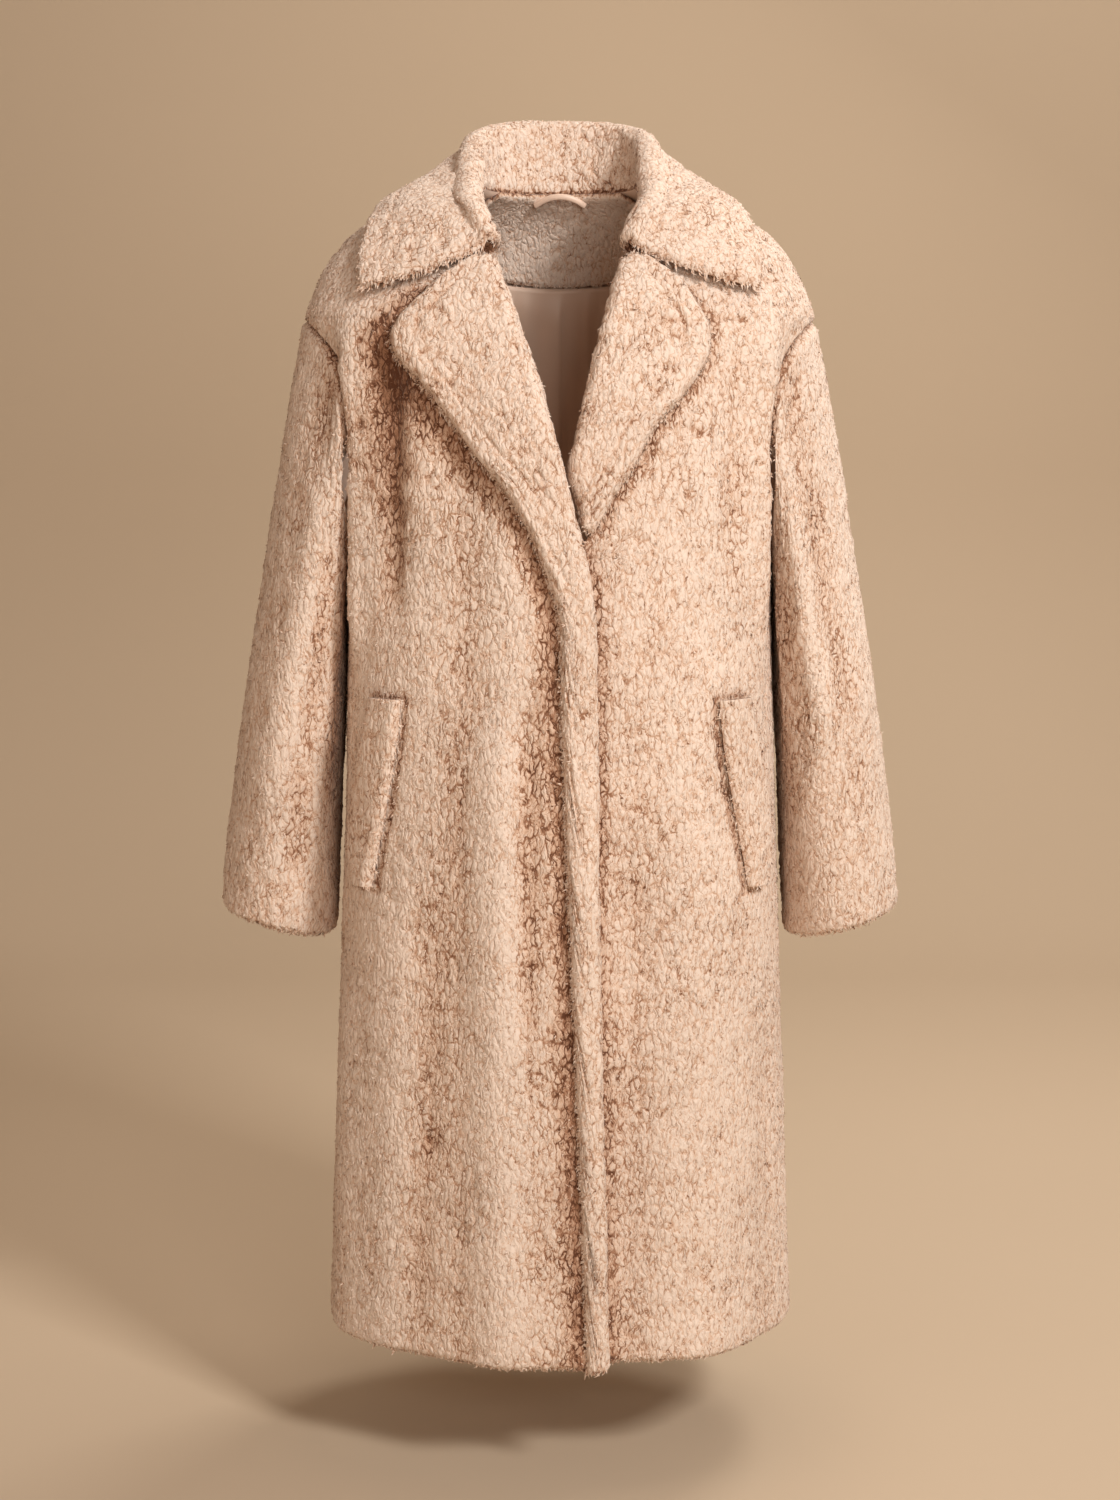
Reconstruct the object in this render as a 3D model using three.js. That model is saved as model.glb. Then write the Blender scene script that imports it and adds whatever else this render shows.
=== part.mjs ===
import * as THREE from 'three';

// A knee-length faux fur coat, filled out as if worn. Millimetres, +Z up, the front faces -Y.
// The origin lies midway between the two points where the shoulder seams meet the collar.

// Driving dimensions
const WALL = 11; // cloth with its pile
const COLLAR_WALL = 12.5; // two layers of cloth with their pile
const WELT_WALL = 8;
const FACING_WALL = 6;
const LINING_WALL = 1.5;
const SEAM = 0.3; // gap between neighbouring pieces
const LIFT = 1.4; // what lies on a panel stands off it, as its folds are faceted
const NECK_Z = 6;
const HEM_Z = -1076;
const SHOULDER_Z = -124; // where the shoulder seam meets the sleeve
const UNDERARM_Z = -340;
const ARMHOLE_FRONT = 25; // degrees from the side that the armhole reaches forward
const ARMHOLE_BACK = 25;
const GORGE_Z = -70; // where the neckline ends and the lapel starts
const OVERLAP = 12.3; // how far the right front stands out over the left one
const OVERLAP_REACH = 95; // distance from the middle where that step ends
const OVERLAP_FADE = 60; // and the width over which it fades
const OVERLAP_TOP = -130;
const OVERLAP_RISE = 120; // height over which the step grows from its top
const OVERLAP_EDGE = 5; // distance past the middle that the left front's hidden edge reaches
const HIDDEN_Z = -318; // where the left front's edge leaves its lapel and runs under the right front
const HIDDEN_FADE = 40;
const NOSE = 13; // half the depth of a lapel's rolled fold
const NOSE_SHARE = 0.4; // and at most this part of the lapel's width
const TUCK = 2; // how far a front's edge stays inside the fold
const FOLD_GAP = 1.8; // between a front's edge and the fold round it
const NECK_GAP = 0.8; // between the panels and the collar's foot
const COLLAR_CLEAR = 4.6; // least height of the collar's underside over the body

// Cross sections of the body, from the neck to the hem
const BODY = [
  { z: 8, half: 68, front: 12, back: 62, square: 2.0 },
  { z: 0, half: 88, front: 24, back: 73, square: 2.0 },
  { z: -16, half: 128, front: 44, back: 86, square: 2.05 },
  { z: -30, half: 164, front: 59, back: 95, square: 2.1 },
  { z: -42, half: 189, front: 71, back: 101, square: 2.15 },
  { z: -60, half: 207, front: 86, back: 108, square: 2.2 },
  { z: -78, half: 219, front: 99, back: 114, square: 2.3 },
  { z: -100, half: 229, front: 111, back: 120, square: 2.4 },
  { z: -124, half: 236, front: 121, back: 126, square: 2.5 },
  { z: -160, half: 224, front: 131, back: 132, square: 2.6 },
  { z: -200, half: 211, front: 138, back: 137, square: 2.75 },
  { z: -260, half: 202, front: 144, back: 142, square: 2.8 },
  { z: -340, half: 198, front: 148, back: 146, square: 2.8 },
  { z: -482, half: 201, front: 152, back: 150, square: 2.75 },
  { z: -676, half: 208, front: 158, back: 156, square: 2.6 },
  { z: -815, half: 214, front: 162, back: 160, square: 2.5 },
  { z: -976, half: 221, front: 167, back: 165, square: 2.4 },
  { z: -1076, half: 226, front: 170, back: 170, square: 2.35 },
];

// Folds of the body: the side, the angle from the front at the fold's top and bottom, the half
// width and the height (a valley is below 0), and the stretch of z that the fold runs along
const FOLDS = [
  { side: -1, from: 64, to: 66, width: 14, height: 11, top: -95, bottom: -470 },
  { side: -1, from: 54, to: 52, width: 15, height: -9, top: -120, bottom: -430 },
  { side: -1, from: 22, to: 20, width: 28, height: 8, top: -450, bottom: -1140 },
  { side: -1, from: 11, to: 10, width: 12, height: -6, top: -430, bottom: -800 },
  { side: -1, from: 40, to: 44, width: 24, height: -6, top: -620, bottom: -1140 },
  { side: -1, from: 70, to: 68, width: 26, height: 6, top: -700, bottom: -1140 },
  { side: 1, from: 64, to: 66, width: 14, height: 9, top: -95, bottom: -450 },
  { side: 1, from: 55, to: 53, width: 15, height: -6, top: -130, bottom: -400 },
  { side: 1, from: 24, to: 21, width: 22, height: -9, top: -560, bottom: -1140 },
  { side: 1, from: 40, to: 43, width: 32, height: 8, top: -380, bottom: -1140 },
  { side: 1, from: 66, to: 64, width: 24, height: -6, top: -740, bottom: -1140 },
  { side: -1, from: 164, to: 160, width: 26, height: 7, top: -190, bottom: -1140 },
  { side: -1, from: 136, to: 138, width: 24, height: -7, top: -300, bottom: -1140 },
  { side: -1, from: 116, to: 112, width: 20, height: 8, top: -120, bottom: -620 },
  { side: 1, from: 170, to: 166, width: 24, height: -7, top: -260, bottom: -1140 },
  { side: 1, from: 142, to: 146, width: 28, height: 8, top: -340, bottom: -1140 },
  { side: 1, from: 117, to: 114, width: 20, height: 8, top: -130, bottom: -560 },
];
const FOLD_FADE = 90;

// Half width of the neckline on each front
const NECKLINE = [
  { z: 6, x: 72.3 },
  { z: -6, x: 77 },
  { z: -16, x: 80 },
  { z: -38, x: 78 },
  { z: -70, x: 67 },
];

// The right lapel and the rolled band below it, with x towards the wearer's right
const LAPEL_RIGHT = [
  { z: -77, roll: 54, edge: 78, height: 12 },
  { z: -86, roll: 51, edge: 93, height: 13 },
  { z: -95, roll: 48, edge: 107, height: 13 },
  { z: -112, roll: 42, edge: 125, height: 13 },
  { z: -134, roll: 34, edge: 146, height: 13 },
  { z: -144, roll: 31, edge: 150, height: 13 },
  { z: -156, roll: 26, edge: 147, height: 13 },
  { z: -188, roll: 16, edge: 121, height: 13 },
  { z: -241, roll: 1, edge: 80, height: 13 },
  { z: -289, roll: -11, edge: 43, height: 13 },
  { z: -342, roll: -24, edge: 17, height: 12 },
  { z: -395, roll: -32, edge: 1, height: 11 },
  { z: -467, roll: -34, edge: -1, height: 10 },
  { z: -649, roll: -36, edge: -8, height: 10 },
  { z: -835, roll: -40, edge: -16, height: 9 },
  { z: -1076, roll: -46, edge: -25, height: 8 },
];

// The left lapel, which ends where the right front covers it, with x towards the wearer's left
const LAPEL_LEFT = [
  { z: -77, roll: 54, edge: 77, height: 12 },
  { z: -86, roll: 51, edge: 91, height: 13 },
  { z: -97, roll: 47, edge: 106, height: 13 },
  { z: -118, roll: 41, edge: 121, height: 13 },
  { z: -140, roll: 35, edge: 133, height: 13 },
  { z: -160, roll: 30, edge: 131, height: 13 },
  { z: -197, roll: 21, edge: 109, height: 13 },
  { z: -225, roll: 15, edge: 84, height: 13 },
  { z: -263, roll: 8, edge: 64, height: 12 },
  { z: -289, roll: 13, edge: 46, height: 11 },
  { z: -318, roll: 21, edge: 30, height: 8 },
];

// Half the collar, from the middle of the back to its front end: the point where the stand
// turns over, the angle and height of the body where the outer edge rests, and how far the fall bulges
const COLLAR = [
  { u: 0, x: 0, y: 74, z: 55, angle: 180, edge: -50, crown: 6 },
  { u: 0.15, x: 30, y: 70, z: 54, angle: 163, edge: -48, crown: 7 },
  { u: 0.3, x: 54, y: 55, z: 48, angle: 142, edge: -39, crown: 9 },
  { u: 0.45, x: 66, y: 28, z: 36, angle: 118, edge: -28, crown: 10 },
  { u: 0.6, x: 69, y: -10, z: 11, angle: 97, edge: -24, crown: 9 },
  { u: 0.75, x: 70, y: -46, z: -20, angle: 80, edge: -38, crown: 9 },
  { u: 0.9, x: 69, y: -72, z: -52, angle: 70, edge: -77, crown: 6 },
  { u: 1, x: 64, y: -81, z: -74, angle: 64, edge: -106, crown: 1 },
];
const COLLAR_ROLL = 14; // radius of the turned top
const COLLAR_FLAT = 0.65; // part of the collar beyond which the fall lies down on the front
const STAND = [0.35, 0.7]; // points of the stand, as parts of its height
const ROLL_TURNS = [0, 36, 72, 108, 144, 180];
const FALL = [0.2, 0.4, 0.6, 0.8, 1]; // points of the fall, as parts of its length
const FALL_DROP = 0.8; // power by which the flat part of the fall drops along its length

// The sleeve's cuff, the sleeve's outward curve and its folds: the turn round the sleeve from
// its top, the half width in degrees, the height, and the part of the length that the fold runs along
const CUFF = { x: 271, y: 10, z: -692, halfWidth: 55, halfDepth: 72, tilt: 13.5 };
const SLEEVE_BULGE = 8;
const SLEEVE_FADE = 0.15;
const SLEEVE_FOLDS = [
  { side: -1, at: 60, width: 22, height: 6, top: 0.1, bottom: 0.85 },
  { side: -1, at: 104, width: 18, height: -6, top: 0.15, bottom: 0.95 },
  { side: -1, at: 250, width: 24, height: 6, top: 0.2, bottom: 1.1 },
  { side: 1, at: 84, width: 18, height: 6, top: 0.12, bottom: 0.7 },
  { side: 1, at: 122, width: 16, height: -6, top: 0.1, bottom: 0.6 },
  { side: 1, at: 268, width: 22, height: -5, top: 0.25, bottom: 1.1 },
];

// Pocket welts on the fronts
const WELT = [
  { z: -468, near: 142, far: 171 },
  { z: -500, near: 145, far: 178 },
  { z: -560, near: 155, far: 189 },
  { z: -610, near: 165, far: 193 },
  { z: -642, near: 171, far: 188 },
];
const WELT_ACROSS = [0, 0.12, 0.5, 0.88, 1];
const WELT_ROUND = [0.45, 0.95, 1, 0.95, 0.45]; // height of the welt at each of those parts
const WELT_ROWS = 11;

// Inside the back: the facing's lower edge, and the lining below it with a pleat in its middle
const FACING_SPAN = 62; // degrees either side of the middle of the back
const FACING_TOP = 3;
const FACING_SIDE = -52;
const FACING_MIDDLE = -84;
const FACING_CURVE = 0.7; // power that rounds the facing's lower edge
const FACING_ROWS = 5;
const FACING_COLUMNS = 15;
const LINING_SPAN = 70;
const LINING_BOTTOM = -420;
const LINING_ROWS = 10;
const LINING_COLUMNS = [0, 0.12, 0.24, 0.36, 0.44, 0.485, 0.495, 0.505, 0.515, 0.56, 0.64, 0.76, 0.88, 1];
const PLEAT = { height: 6, width: 3, fade: 2 }; // it grows over its first rows

// The hanger loop: half its spread in degrees, its height on the back, its arch and its thickness
const LOOP = { spread: 23, z: 3, rise: 8, out: 7, radius: 2.2, gap: 0.8 };
const LOOP_POINTS = [1, 0.85, 0.45, 0, -0.45, -0.85, -1];

const COLOURS = { fur: 0xdcb697, satin: 0xc9a48b };
const BACK_COLUMNS = 9; // each side of the middle, up to the armhole
const FRONT_COLUMNS = 10;
const SIDE_COLUMNS = 3;
const ARMHOLE_ROWS = 9;
const HEM_ROWS = 11;
const SHOULDER_ROWS = [6, 2, -2, -10, -20, -31, -42, -54, -70, -79, -88, -106];
const COLUMN_REACH = 88; // degrees, less the armhole's reach, that hold a panel's even columns
const COLUMN_SHARE = 0.6; // and at least this part of the panel

const rad = THREE.MathUtils.degToRad;

// A smooth curve through one column of a table, level beyond both ends
function column(rows, key, name) {
  const sorted = [...rows].sort((p, q) => p[key] - q[key]);
  const at = sorted.map((row) => row[key]);
  const value = sorted.map((row) => row[name]);
  const rise = at.slice(1).map((next, i) => (value[i + 1] - value[i]) / (next - at[i]));
  const slope = value.map((_, i) => {
    const before = rise[Math.max(i - 1, 0)];
    const after = rise[Math.min(i, rise.length - 1)];
    return before * after <= 0 ? 0 : (2 * before * after) / (before + after);
  });
  return (wanted) => {
    const x = THREE.MathUtils.clamp(wanted, at[0], at[at.length - 1]);
    let i = 0;
    while (i < rise.length - 1 && x > at[i + 1]) i += 1;
    const span = at[i + 1] - at[i];
    const t = (x - at[i]) / span;
    const blend = t * t * (3 - 2 * t);
    const lead = t * (1 - t) * (1 - t) * slope[i] * span;
    const trail = t * t * (t - 1) * slope[i + 1] * span;
    return value[i] * (1 - blend) + value[i + 1] * blend + lead + trail;
  };
}

const columns = (rows, key, ...names) =>
  Object.fromEntries(names.map((name) => [name, column(rows, key, name)]));

const body = columns(BODY, 'z', 'half', 'front', 'back', 'square');
const neckline = column(NECKLINE, 'z', 'x');
const smooth = (t) => THREE.MathUtils.smoothstep(t, 0, 1);

// The height of the folds at an angle and a height of the body
function folds(side, angle, z, radius) {
  let sum = 0;
  for (const fold of FOLDS) {
    if (fold.side !== side || z > fold.top || z < fold.bottom) continue;
    const along = (fold.top - z) / (fold.top - fold.bottom);
    const centre = rad(THREE.MathUtils.lerp(fold.from, fold.to, along));
    const across = ((angle - centre) * radius) / fold.width;
    const fade = smooth((fold.top - z) / FOLD_FADE) * smooth((z - fold.bottom) / FOLD_FADE);
    sum += fold.height * fade * Math.exp(-across * across);
  }
  return sum;
}

// A point of the body's outer surface. The angle runs from the front (0) round one side (90
// degrees) to the back (180), and the right front stands out where it covers the left one.
function bodyPoint(side, angle, z) {
  const n = body.square(z);
  const depth = Math.cos(angle) > 0 ? body.front(z) : body.back(z);
  const across = Math.abs(Math.sin(angle)) / body.half(z);
  const along = Math.abs(Math.cos(angle)) / depth;
  const plain = (across ** n + along ** n) ** (-1 / n);
  let radius = plain + folds(side, angle, z, plain);
  if (side < 0 && Math.cos(angle) > 0) {
    const x = radius * Math.sin(angle);
    radius += OVERLAP * smooth((OVERLAP_REACH - x) / OVERLAP_FADE) * smooth((OVERLAP_TOP - z) / OVERLAP_RISE);
  }
  return new THREE.Vector3(side * radius * Math.sin(angle), -radius * Math.cos(angle), z);
}

// The outward direction of the body's surface
function bodyNormal(side, angle, z) {
  const turn = 0.01;
  const rise = 1;
  const round = bodyPoint(side, angle + turn, z).sub(bodyPoint(side, angle - turn, z));
  const up = bodyPoint(side, angle, z + rise).sub(bodyPoint(side, angle, z - rise));
  return round.cross(up).multiplyScalar(side).normalize();
}

const lifted = (side, angle, z, offset) =>
  bodyPoint(side, angle, z).addScaledVector(bodyNormal(side, angle, z), offset);

// The angle at which the front surface reaches a distance from the middle
function angleAt(side, x, z) {
  let low = rad(-60);
  let high = rad(90);
  for (let step = 0; step < 40; step += 1) {
    const middle = (low + high) / 2;
    if (bodyPoint(side, middle, z).x * side < x) low = middle;
    else high = middle;
  }
  return low;
}

// Indices of the strips between grid lines, and the closed mesh that they make
function meshOf(points, triangles) {
  let volume = 0;
  for (const [a, b, c] of triangles) {
    volume += points[a].dot(points[b].clone().cross(points[c]));
  }
  const index = triangles.flatMap(([a, b, c]) => (volume > 0 ? [a, b, c] : [a, c, b]));
  const geometry = new THREE.BufferGeometry().setFromPoints(points);
  geometry.setIndex(index);
  geometry.computeVertexNormals();
  return geometry;
}

// A closed wall between an outer and an inner grid of points. A ring's last column meets its
// first. Each square is split along one diagonal, and along the other one above the mirrored row.
function wall(outer, inner, ring = false, mirrorRow = 0) {
  const rows = outer.length;
  const width = outer[0].length;
  const points = [...outer.flat(), ...inner.flat()];
  const at = (layer, row, col) => (layer * rows + row) * width + (col % width);
  const triangles = [];
  const quad = (a, b, c, d, mirrored = false) => {
    if (mirrored) triangles.push([a, b, d], [b, c, d]);
    else triangles.push([a, b, c], [a, c, d]);
  };
  const last = ring ? width : width - 1;
  for (let row = 0; row < rows - 1; row += 1) {
    const flip = row < mirrorRow;
    for (let col = 0; col < last; col += 1) {
      quad(at(0, row, col), at(0, row, col + 1), at(0, row + 1, col + 1), at(0, row + 1, col), flip);
      quad(at(1, row, col), at(1, row + 1, col), at(1, row + 1, col + 1), at(1, row, col + 1), flip);
    }
    if (!ring) {
      quad(at(0, row, 0), at(0, row + 1, 0), at(1, row + 1, 0), at(1, row, 0), flip);
      quad(at(0, row + 1, last), at(0, row, last), at(1, row, last), at(1, row + 1, last), flip);
    }
  }
  for (let col = 0; col < last; col += 1) {
    const end = rows - 1;
    quad(at(0, 0, col + 1), at(0, 0, col), at(1, 0, col), at(1, 0, col + 1));
    quad(at(0, end, col), at(0, end, col + 1), at(1, end, col + 1), at(1, end, col));
  }
  return meshOf(points, triangles);
}

// Armhole: its turn runs from the shoulder (0) round the front or the back to the underarm (180)
const armholeZ = (turn) =>
  SHOULDER_Z - ((SHOULDER_Z - UNDERARM_Z) * (1 - Math.cos(turn))) / 2;
const armholeAngle = (turn) =>
  rad(90 - (turn < Math.PI ? ARMHOLE_FRONT : ARMHOLE_BACK) * Math.sin(turn));

// Rows of the body panels, with the armhole's own rows between shoulder and underarm
const ROWS = SHOULDER_ROWS.map((z) => ({ z, front: rad(90), back: rad(90) }));
for (let row = 0; row <= ARMHOLE_ROWS; row += 1) {
  const turn = (Math.PI * row) / ARMHOLE_ROWS;
  const z = armholeZ(turn);
  ROWS.push({ z, front: armholeAngle(turn), back: armholeAngle(2 * Math.PI - turn) });
}
for (let row = 1; row <= HEM_ROWS; row += 1) {
  const z = THREE.MathUtils.lerp(UNDERARM_Z, HEM_Z, row / HEM_ROWS);
  ROWS.push({ z, front: rad(90), back: rad(90) });
}

// The depth of a lapel's fold at a height, less where the lapel is narrow
const noseOf = (lapel, z) => Math.min(NOSE, (lapel.edge(z) - lapel.roll(z)) * NOSE_SHARE);

const lapelRight = columns(LAPEL_RIGHT, 'z', 'roll', 'edge', 'height');
const lapelLeft = columns(LAPEL_LEFT, 'z', 'roll', 'edge', 'height');

// Where a front's edge lies: on the neckline, inside the lapel's fold, or hidden under the right front
function frontEdge(side, z) {
  if (z >= GORGE_Z) return neckline(z);
  const lapel = side < 0 ? lapelRight : lapelLeft;
  const inFold = lapel.roll(z) + noseOf(lapel, z) + TUCK;
  if (side < 0) return inFold;
  const hidden = smooth((HIDDEN_Z - z) / HIDDEN_FADE);
  return THREE.MathUtils.lerp(inFold, -OVERLAP_EDGE, hidden);
}

const grid = (rows, cols, make) =>
  Array.from({ length: rows }, (_, row) => Array.from({ length: cols }, (__, col) => make(row, col)));

const trim = (z) => SEAM / 2 / body.half(z);

function backPanel() {
  const half = BACK_COLUMNS + SIDE_COLUMNS;
  const reach = rad(COLUMN_REACH - ARMHOLE_BACK);
  const place = (depth) => (row, col) => {
    const { z, back } = ROWS[row];
    const side = col < half ? 1 : -1;
    const fromMiddle = Math.abs(col - half);
    const end = Math.PI - back - trim(z);
    const turned = columnAngle(0, end, reach, fromMiddle, BACK_COLUMNS, SIDE_COLUMNS);
    return lifted(side, Math.PI - turned, z, -depth);
  };
  const size = [ROWS.length, 2 * half + 1];
  return wall(grid(...size, place(0)), grid(...size, place(WALL)));
}

// The angle of a panel's column: most columns are spread up to the armhole's reach, the rest beyond
function columnAngle(from, to, reach, col, inner, outer) {
  const split = Math.max(reach, from + COLUMN_SHARE * (to - from));
  if (col <= inner) return THREE.MathUtils.lerp(from, split, col / inner);
  return THREE.MathUtils.lerp(split, to, (col - inner) / outer);
}

function frontPanel(side) {
  const reach = rad(COLUMN_REACH - ARMHOLE_FRONT);
  const place = (depth) => (row, col) => {
    const { z, front } = ROWS[row];
    const from = angleAt(side, frontEdge(side, z), z);
    const angle = columnAngle(from, front - trim(z), reach, col, FRONT_COLUMNS, SIDE_COLUMNS);
    return lifted(side, angle, z, -depth);
  };
  const size = [ROWS.length, FRONT_COLUMNS + SIDE_COLUMNS + 1];
  return wall(grid(...size, place(0)), grid(...size, place(WALL)));
}

// Sleeve: rings from the armhole to the cuff
const SLEEVE_RINGS = [0, 0.05, 0.12, 0.2, 0.29, 0.38, 0.47, 0.56, 0.65, 0.74, 0.83, 0.92, 1];

function sleeveFolds(side, turn, t) {
  let sum = 0;
  for (const fold of SLEEVE_FOLDS) {
    if (fold.side !== side || t < fold.top || t > fold.bottom) continue;
    const across = THREE.MathUtils.radToDeg(turn) - fold.at;
    const fade = smooth((t - fold.top) / SLEEVE_FADE) * smooth((fold.bottom - t) / SLEEVE_FADE);
    sum += fold.height * fade * Math.exp(-((across / fold.width) ** 2));
  }
  return sum;
}

function sleevePoint(side, turn, t) {
  const start = bodyPoint(side, armholeAngle(turn), armholeZ(turn));
  const outward = Math.cos(turn);
  const end = new THREE.Vector3(
    side * (CUFF.x + CUFF.halfWidth * outward),
    CUFF.y - CUFF.halfDepth * Math.sin(turn),
    CUFF.z + CUFF.tilt * outward,
  );
  const arch = Math.sqrt(4 * t * (1 - t));
  const bulge = SLEEVE_BULGE * arch * Math.max(outward, 0) + sleeveFolds(side, turn, t);
  const point = start.lerp(end, t);
  point.x += side * bulge * Math.abs(outward);
  point.y -= bulge * Math.sin(turn);
  return point;
}

function sleeve(side) {
  const count = 2 * ARMHOLE_ROWS;
  const turnOf = (col) => (2 * Math.PI * col) / count;
  const surface = grid(SLEEVE_RINGS.length, count, (row, col) =>
    sleevePoint(side, turnOf(col), SLEEVE_RINGS[row]),
  );
  const outer = [];
  const inner = [];
  surface.forEach((ring, row) => {
    outer.push([]);
    inner.push([]);
    ring.forEach((point, col) => {
      const next = ring[(col + 1) % count];
      const before = ring[(col + count - 1) % count];
      const above = surface[Math.max(row - 1, 0)][col];
      const below = surface[Math.min(row + 1, surface.length - 1)][col];
      const down = below.clone().sub(above).normalize();
      const inward = next.clone().sub(before).cross(down).multiplyScalar(-side).normalize();
      const start = point.clone();
      if (row === 0) {
        const turn = turnOf(col);
        const out = bodyNormal(side, armholeAngle(turn), armholeZ(turn));
        const along = smooth((-inward.dot(out) - 0.1) / 0.7);
        inward.multiplyScalar(1 - along).addScaledVector(out, -along).normalize();
        start.addScaledVector(down, 3 * SEAM);
        start.x += side * 4 * SEAM;
      }
      outer[row].push(start);
      inner[row].push(start.clone().addScaledVector(inward, WALL));
    });
  });
  return wall(outer, inner, true);
}

// A lapel: each row runs from its edge over the front, round the rolled fold and back inside it
const LAPEL_FLAT = [0, 0.05, 0.15, 0.4, 0.7, 1];
const LAPEL_ROUND = [0.35, 0.78, 1, 1.05, 1.02, 1];
const NOSE_STEPS = 5;

function lapelPiece(side, lapel, heights) {
  const outer = [];
  const inner = [];
  for (const z of heights) {
    const nose = noseOf(lapel, z);
    const roll = lapel.roll(z);
    const edge = lapel.edge(z);
    const height = lapel.height(z);
    const hem = roll + nose + TUCK - FOLD_GAP;
    const at = (x, offset) => lifted(side, angleAt(side, x, z), z, offset);
    const face = [];
    const under = [];
    LAPEL_FLAT.forEach((t, i) => {
      face.push(at(THREE.MathUtils.lerp(edge, roll + nose, t), LIFT + height * LAPEL_ROUND[i]));
      under.push(at(THREE.MathUtils.lerp(edge, hem, t), LIFT));
    });
    const middle = (LIFT + height - WALL) / 2;
    const reach = (LIFT + height + WALL) / 2;
    for (let step = 1; step <= NOSE_STEPS; step += 1) {
      const turn = (Math.PI * step) / NOSE_STEPS;
      face.push(at(roll + nose * (1 - Math.sin(turn)), middle + reach * Math.cos(turn)));
      under.push(at(hem, THREE.MathUtils.lerp(LIFT, -WALL, step / NOSE_STEPS)));
    }
    outer.push(face);
    inner.push(under);
  }
  return wall(outer, inner);
}

const LAPEL_HEIGHTS = [-77, -81, -86, -91, -97, -104, -112, -122, -134, -144, -156, -172];
const RIGHT_HEIGHTS = [
  ...LAPEL_HEIGHTS, -188, -214, -241, -265, -289, -315, -342, -368, -395, -430, -467, -520, -580,
  -649, -720, -790, -860, -930, -1000, HEM_Z,
];
const LEFT_HEIGHTS = [...LAPEL_HEIGHTS, -197, -225, -245, -263, -276, -289, -301, -314];

// Collar: sections from the neck seam up the stand, over the roll and down to the outer edge
const collarRow = columns(COLLAR, 'u', 'x', 'y', 'z', 'angle', 'edge', 'crown');
const NECK_TURN = 0.5; // the part of the neck seam that lies on the back

function neckPlace(u) {
  if (u <= NECK_TURN) return { angle: rad(180 - (90 * u) / NECK_TURN), z: NECK_Z };
  const z = THREE.MathUtils.lerp(NECK_Z, GORGE_Z, (u - NECK_TURN) / (1 - NECK_TURN));
  return { angle: angleAt(1, neckline(z), z), z };
}

const turnedTop = (u) => new THREE.Vector3(collarRow.x(u), collarRow.y(u), collarRow.z(u));

function collarSection(u) {
  const step = 0.01;
  const { angle, z } = neckPlace(u);
  const seam = bodyPoint(1, angle, z);
  const out = bodyNormal(1, angle, z);
  const before = neckPlace(Math.max(u - step, 0));
  const after = neckPlace(Math.min(u + step, 1));
  const seamWay = bodyPoint(1, after.angle, after.z).sub(bodyPoint(1, before.angle, before.z));
  const away = seamWay.cross(out).normalize();
  if (away.z < 0) away.negate();
  const foot = seam.clone().addScaledVector(away, NECK_GAP);
  const heel = foot.clone().addScaledVector(out, -WALL);
  const top = turnedTop(u);
  const axis = turnedTop(Math.min(u + step, 1)).sub(turnedTop(Math.max(u - step, 0))).normalize();
  const flat = smooth((u - COLLAR_FLAT) / (1 - COLLAR_FLAT));
  const level = axis.clone().cross(new THREE.Vector3(0, 0, -1)).normalize();
  const side = level.lerp(out, flat).normalize();
  const up = axis.clone().cross(side).normalize();
  const face = [heel, ...STAND.map((t) => heel.clone().lerp(top, t))];
  const centre = top.clone().addScaledVector(side, COLLAR_ROLL);
  for (const turn of ROLL_TURNS) {
    const across = -COLLAR_ROLL * Math.cos(rad(turn));
    const over = COLLAR_ROLL * Math.sin(rad(turn));
    face.push(centre.clone().addScaledVector(side, across).addScaledVector(up, over));
  }
  const start = face[face.length - 1];
  const rest = rad(collarRow.angle(u));
  const edge = collarRow.edge(u);
  const lift = COLLAR_WALL + LIFT;
  const end = lifted(1, rest, edge, lift);
  const bulge = bodyNormal(1, rest, edge).add(up).normalize().multiplyScalar(2 * collarRow.crown(u));
  const knee = start.clone().lerp(end, 0.5).add(bulge);
  for (const t of FALL) {
    const first = start.clone().lerp(knee, t);
    const free = first.lerp(knee.clone().lerp(end, t), t);
    const turn = THREE.MathUtils.lerp(angle, rest, t);
    const height = THREE.MathUtils.lerp(z, edge, t ** FALL_DROP);
    face.push(free.lerp(lifted(1, turn, height, lift), flat));
  }
  const clear = 1 + STAND.length + ROLL_TURNS.length / 2;
  face.slice(clear + 1).forEach((point) => keepOff(point, lift));
  return { face, foot };
}

// Moves a point out until it stands at least a height above the body
function keepOff(point, height) {
  const side = point.x < 0 ? -1 : 1;
  for (let round = 0; round < 3; round += 1) {
    const angle = Math.atan2(Math.abs(point.x), -point.y);
    const surface = bodyPoint(side, angle, point.z);
    const out = bodyNormal(side, angle, point.z);
    const above = point.clone().sub(surface).dot(out);
    if (above < height) point.addScaledVector(out, height - above);
  }
}

// The collar's sections lie at the panels' own columns and rows
const COLLAR_COLUMNS = [0, 2, 4, 6, 8, 9, 10, 11, 12];
const CORNER_STEP = 0.004; // from the back's last section to the front's first one
const COLUMNS_REACH = rad(COLUMN_REACH - ARMHOLE_BACK);
const COLLAR_STEPS = [
  ...COLLAR_COLUMNS.map(
    (col) => columnAngle(0, Math.PI / 2, COLUMNS_REACH, col, BACK_COLUMNS, SIDE_COLUMNS) / Math.PI,
  ),
  NECK_TURN + CORNER_STEP,
  ...SHOULDER_ROWS.slice(1)
    .filter((z) => z >= GORGE_Z)
    .map((z) => NECK_TURN + ((1 - NECK_TURN) * (NECK_Z - z)) / (NECK_Z - GORGE_Z)),
];

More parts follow.
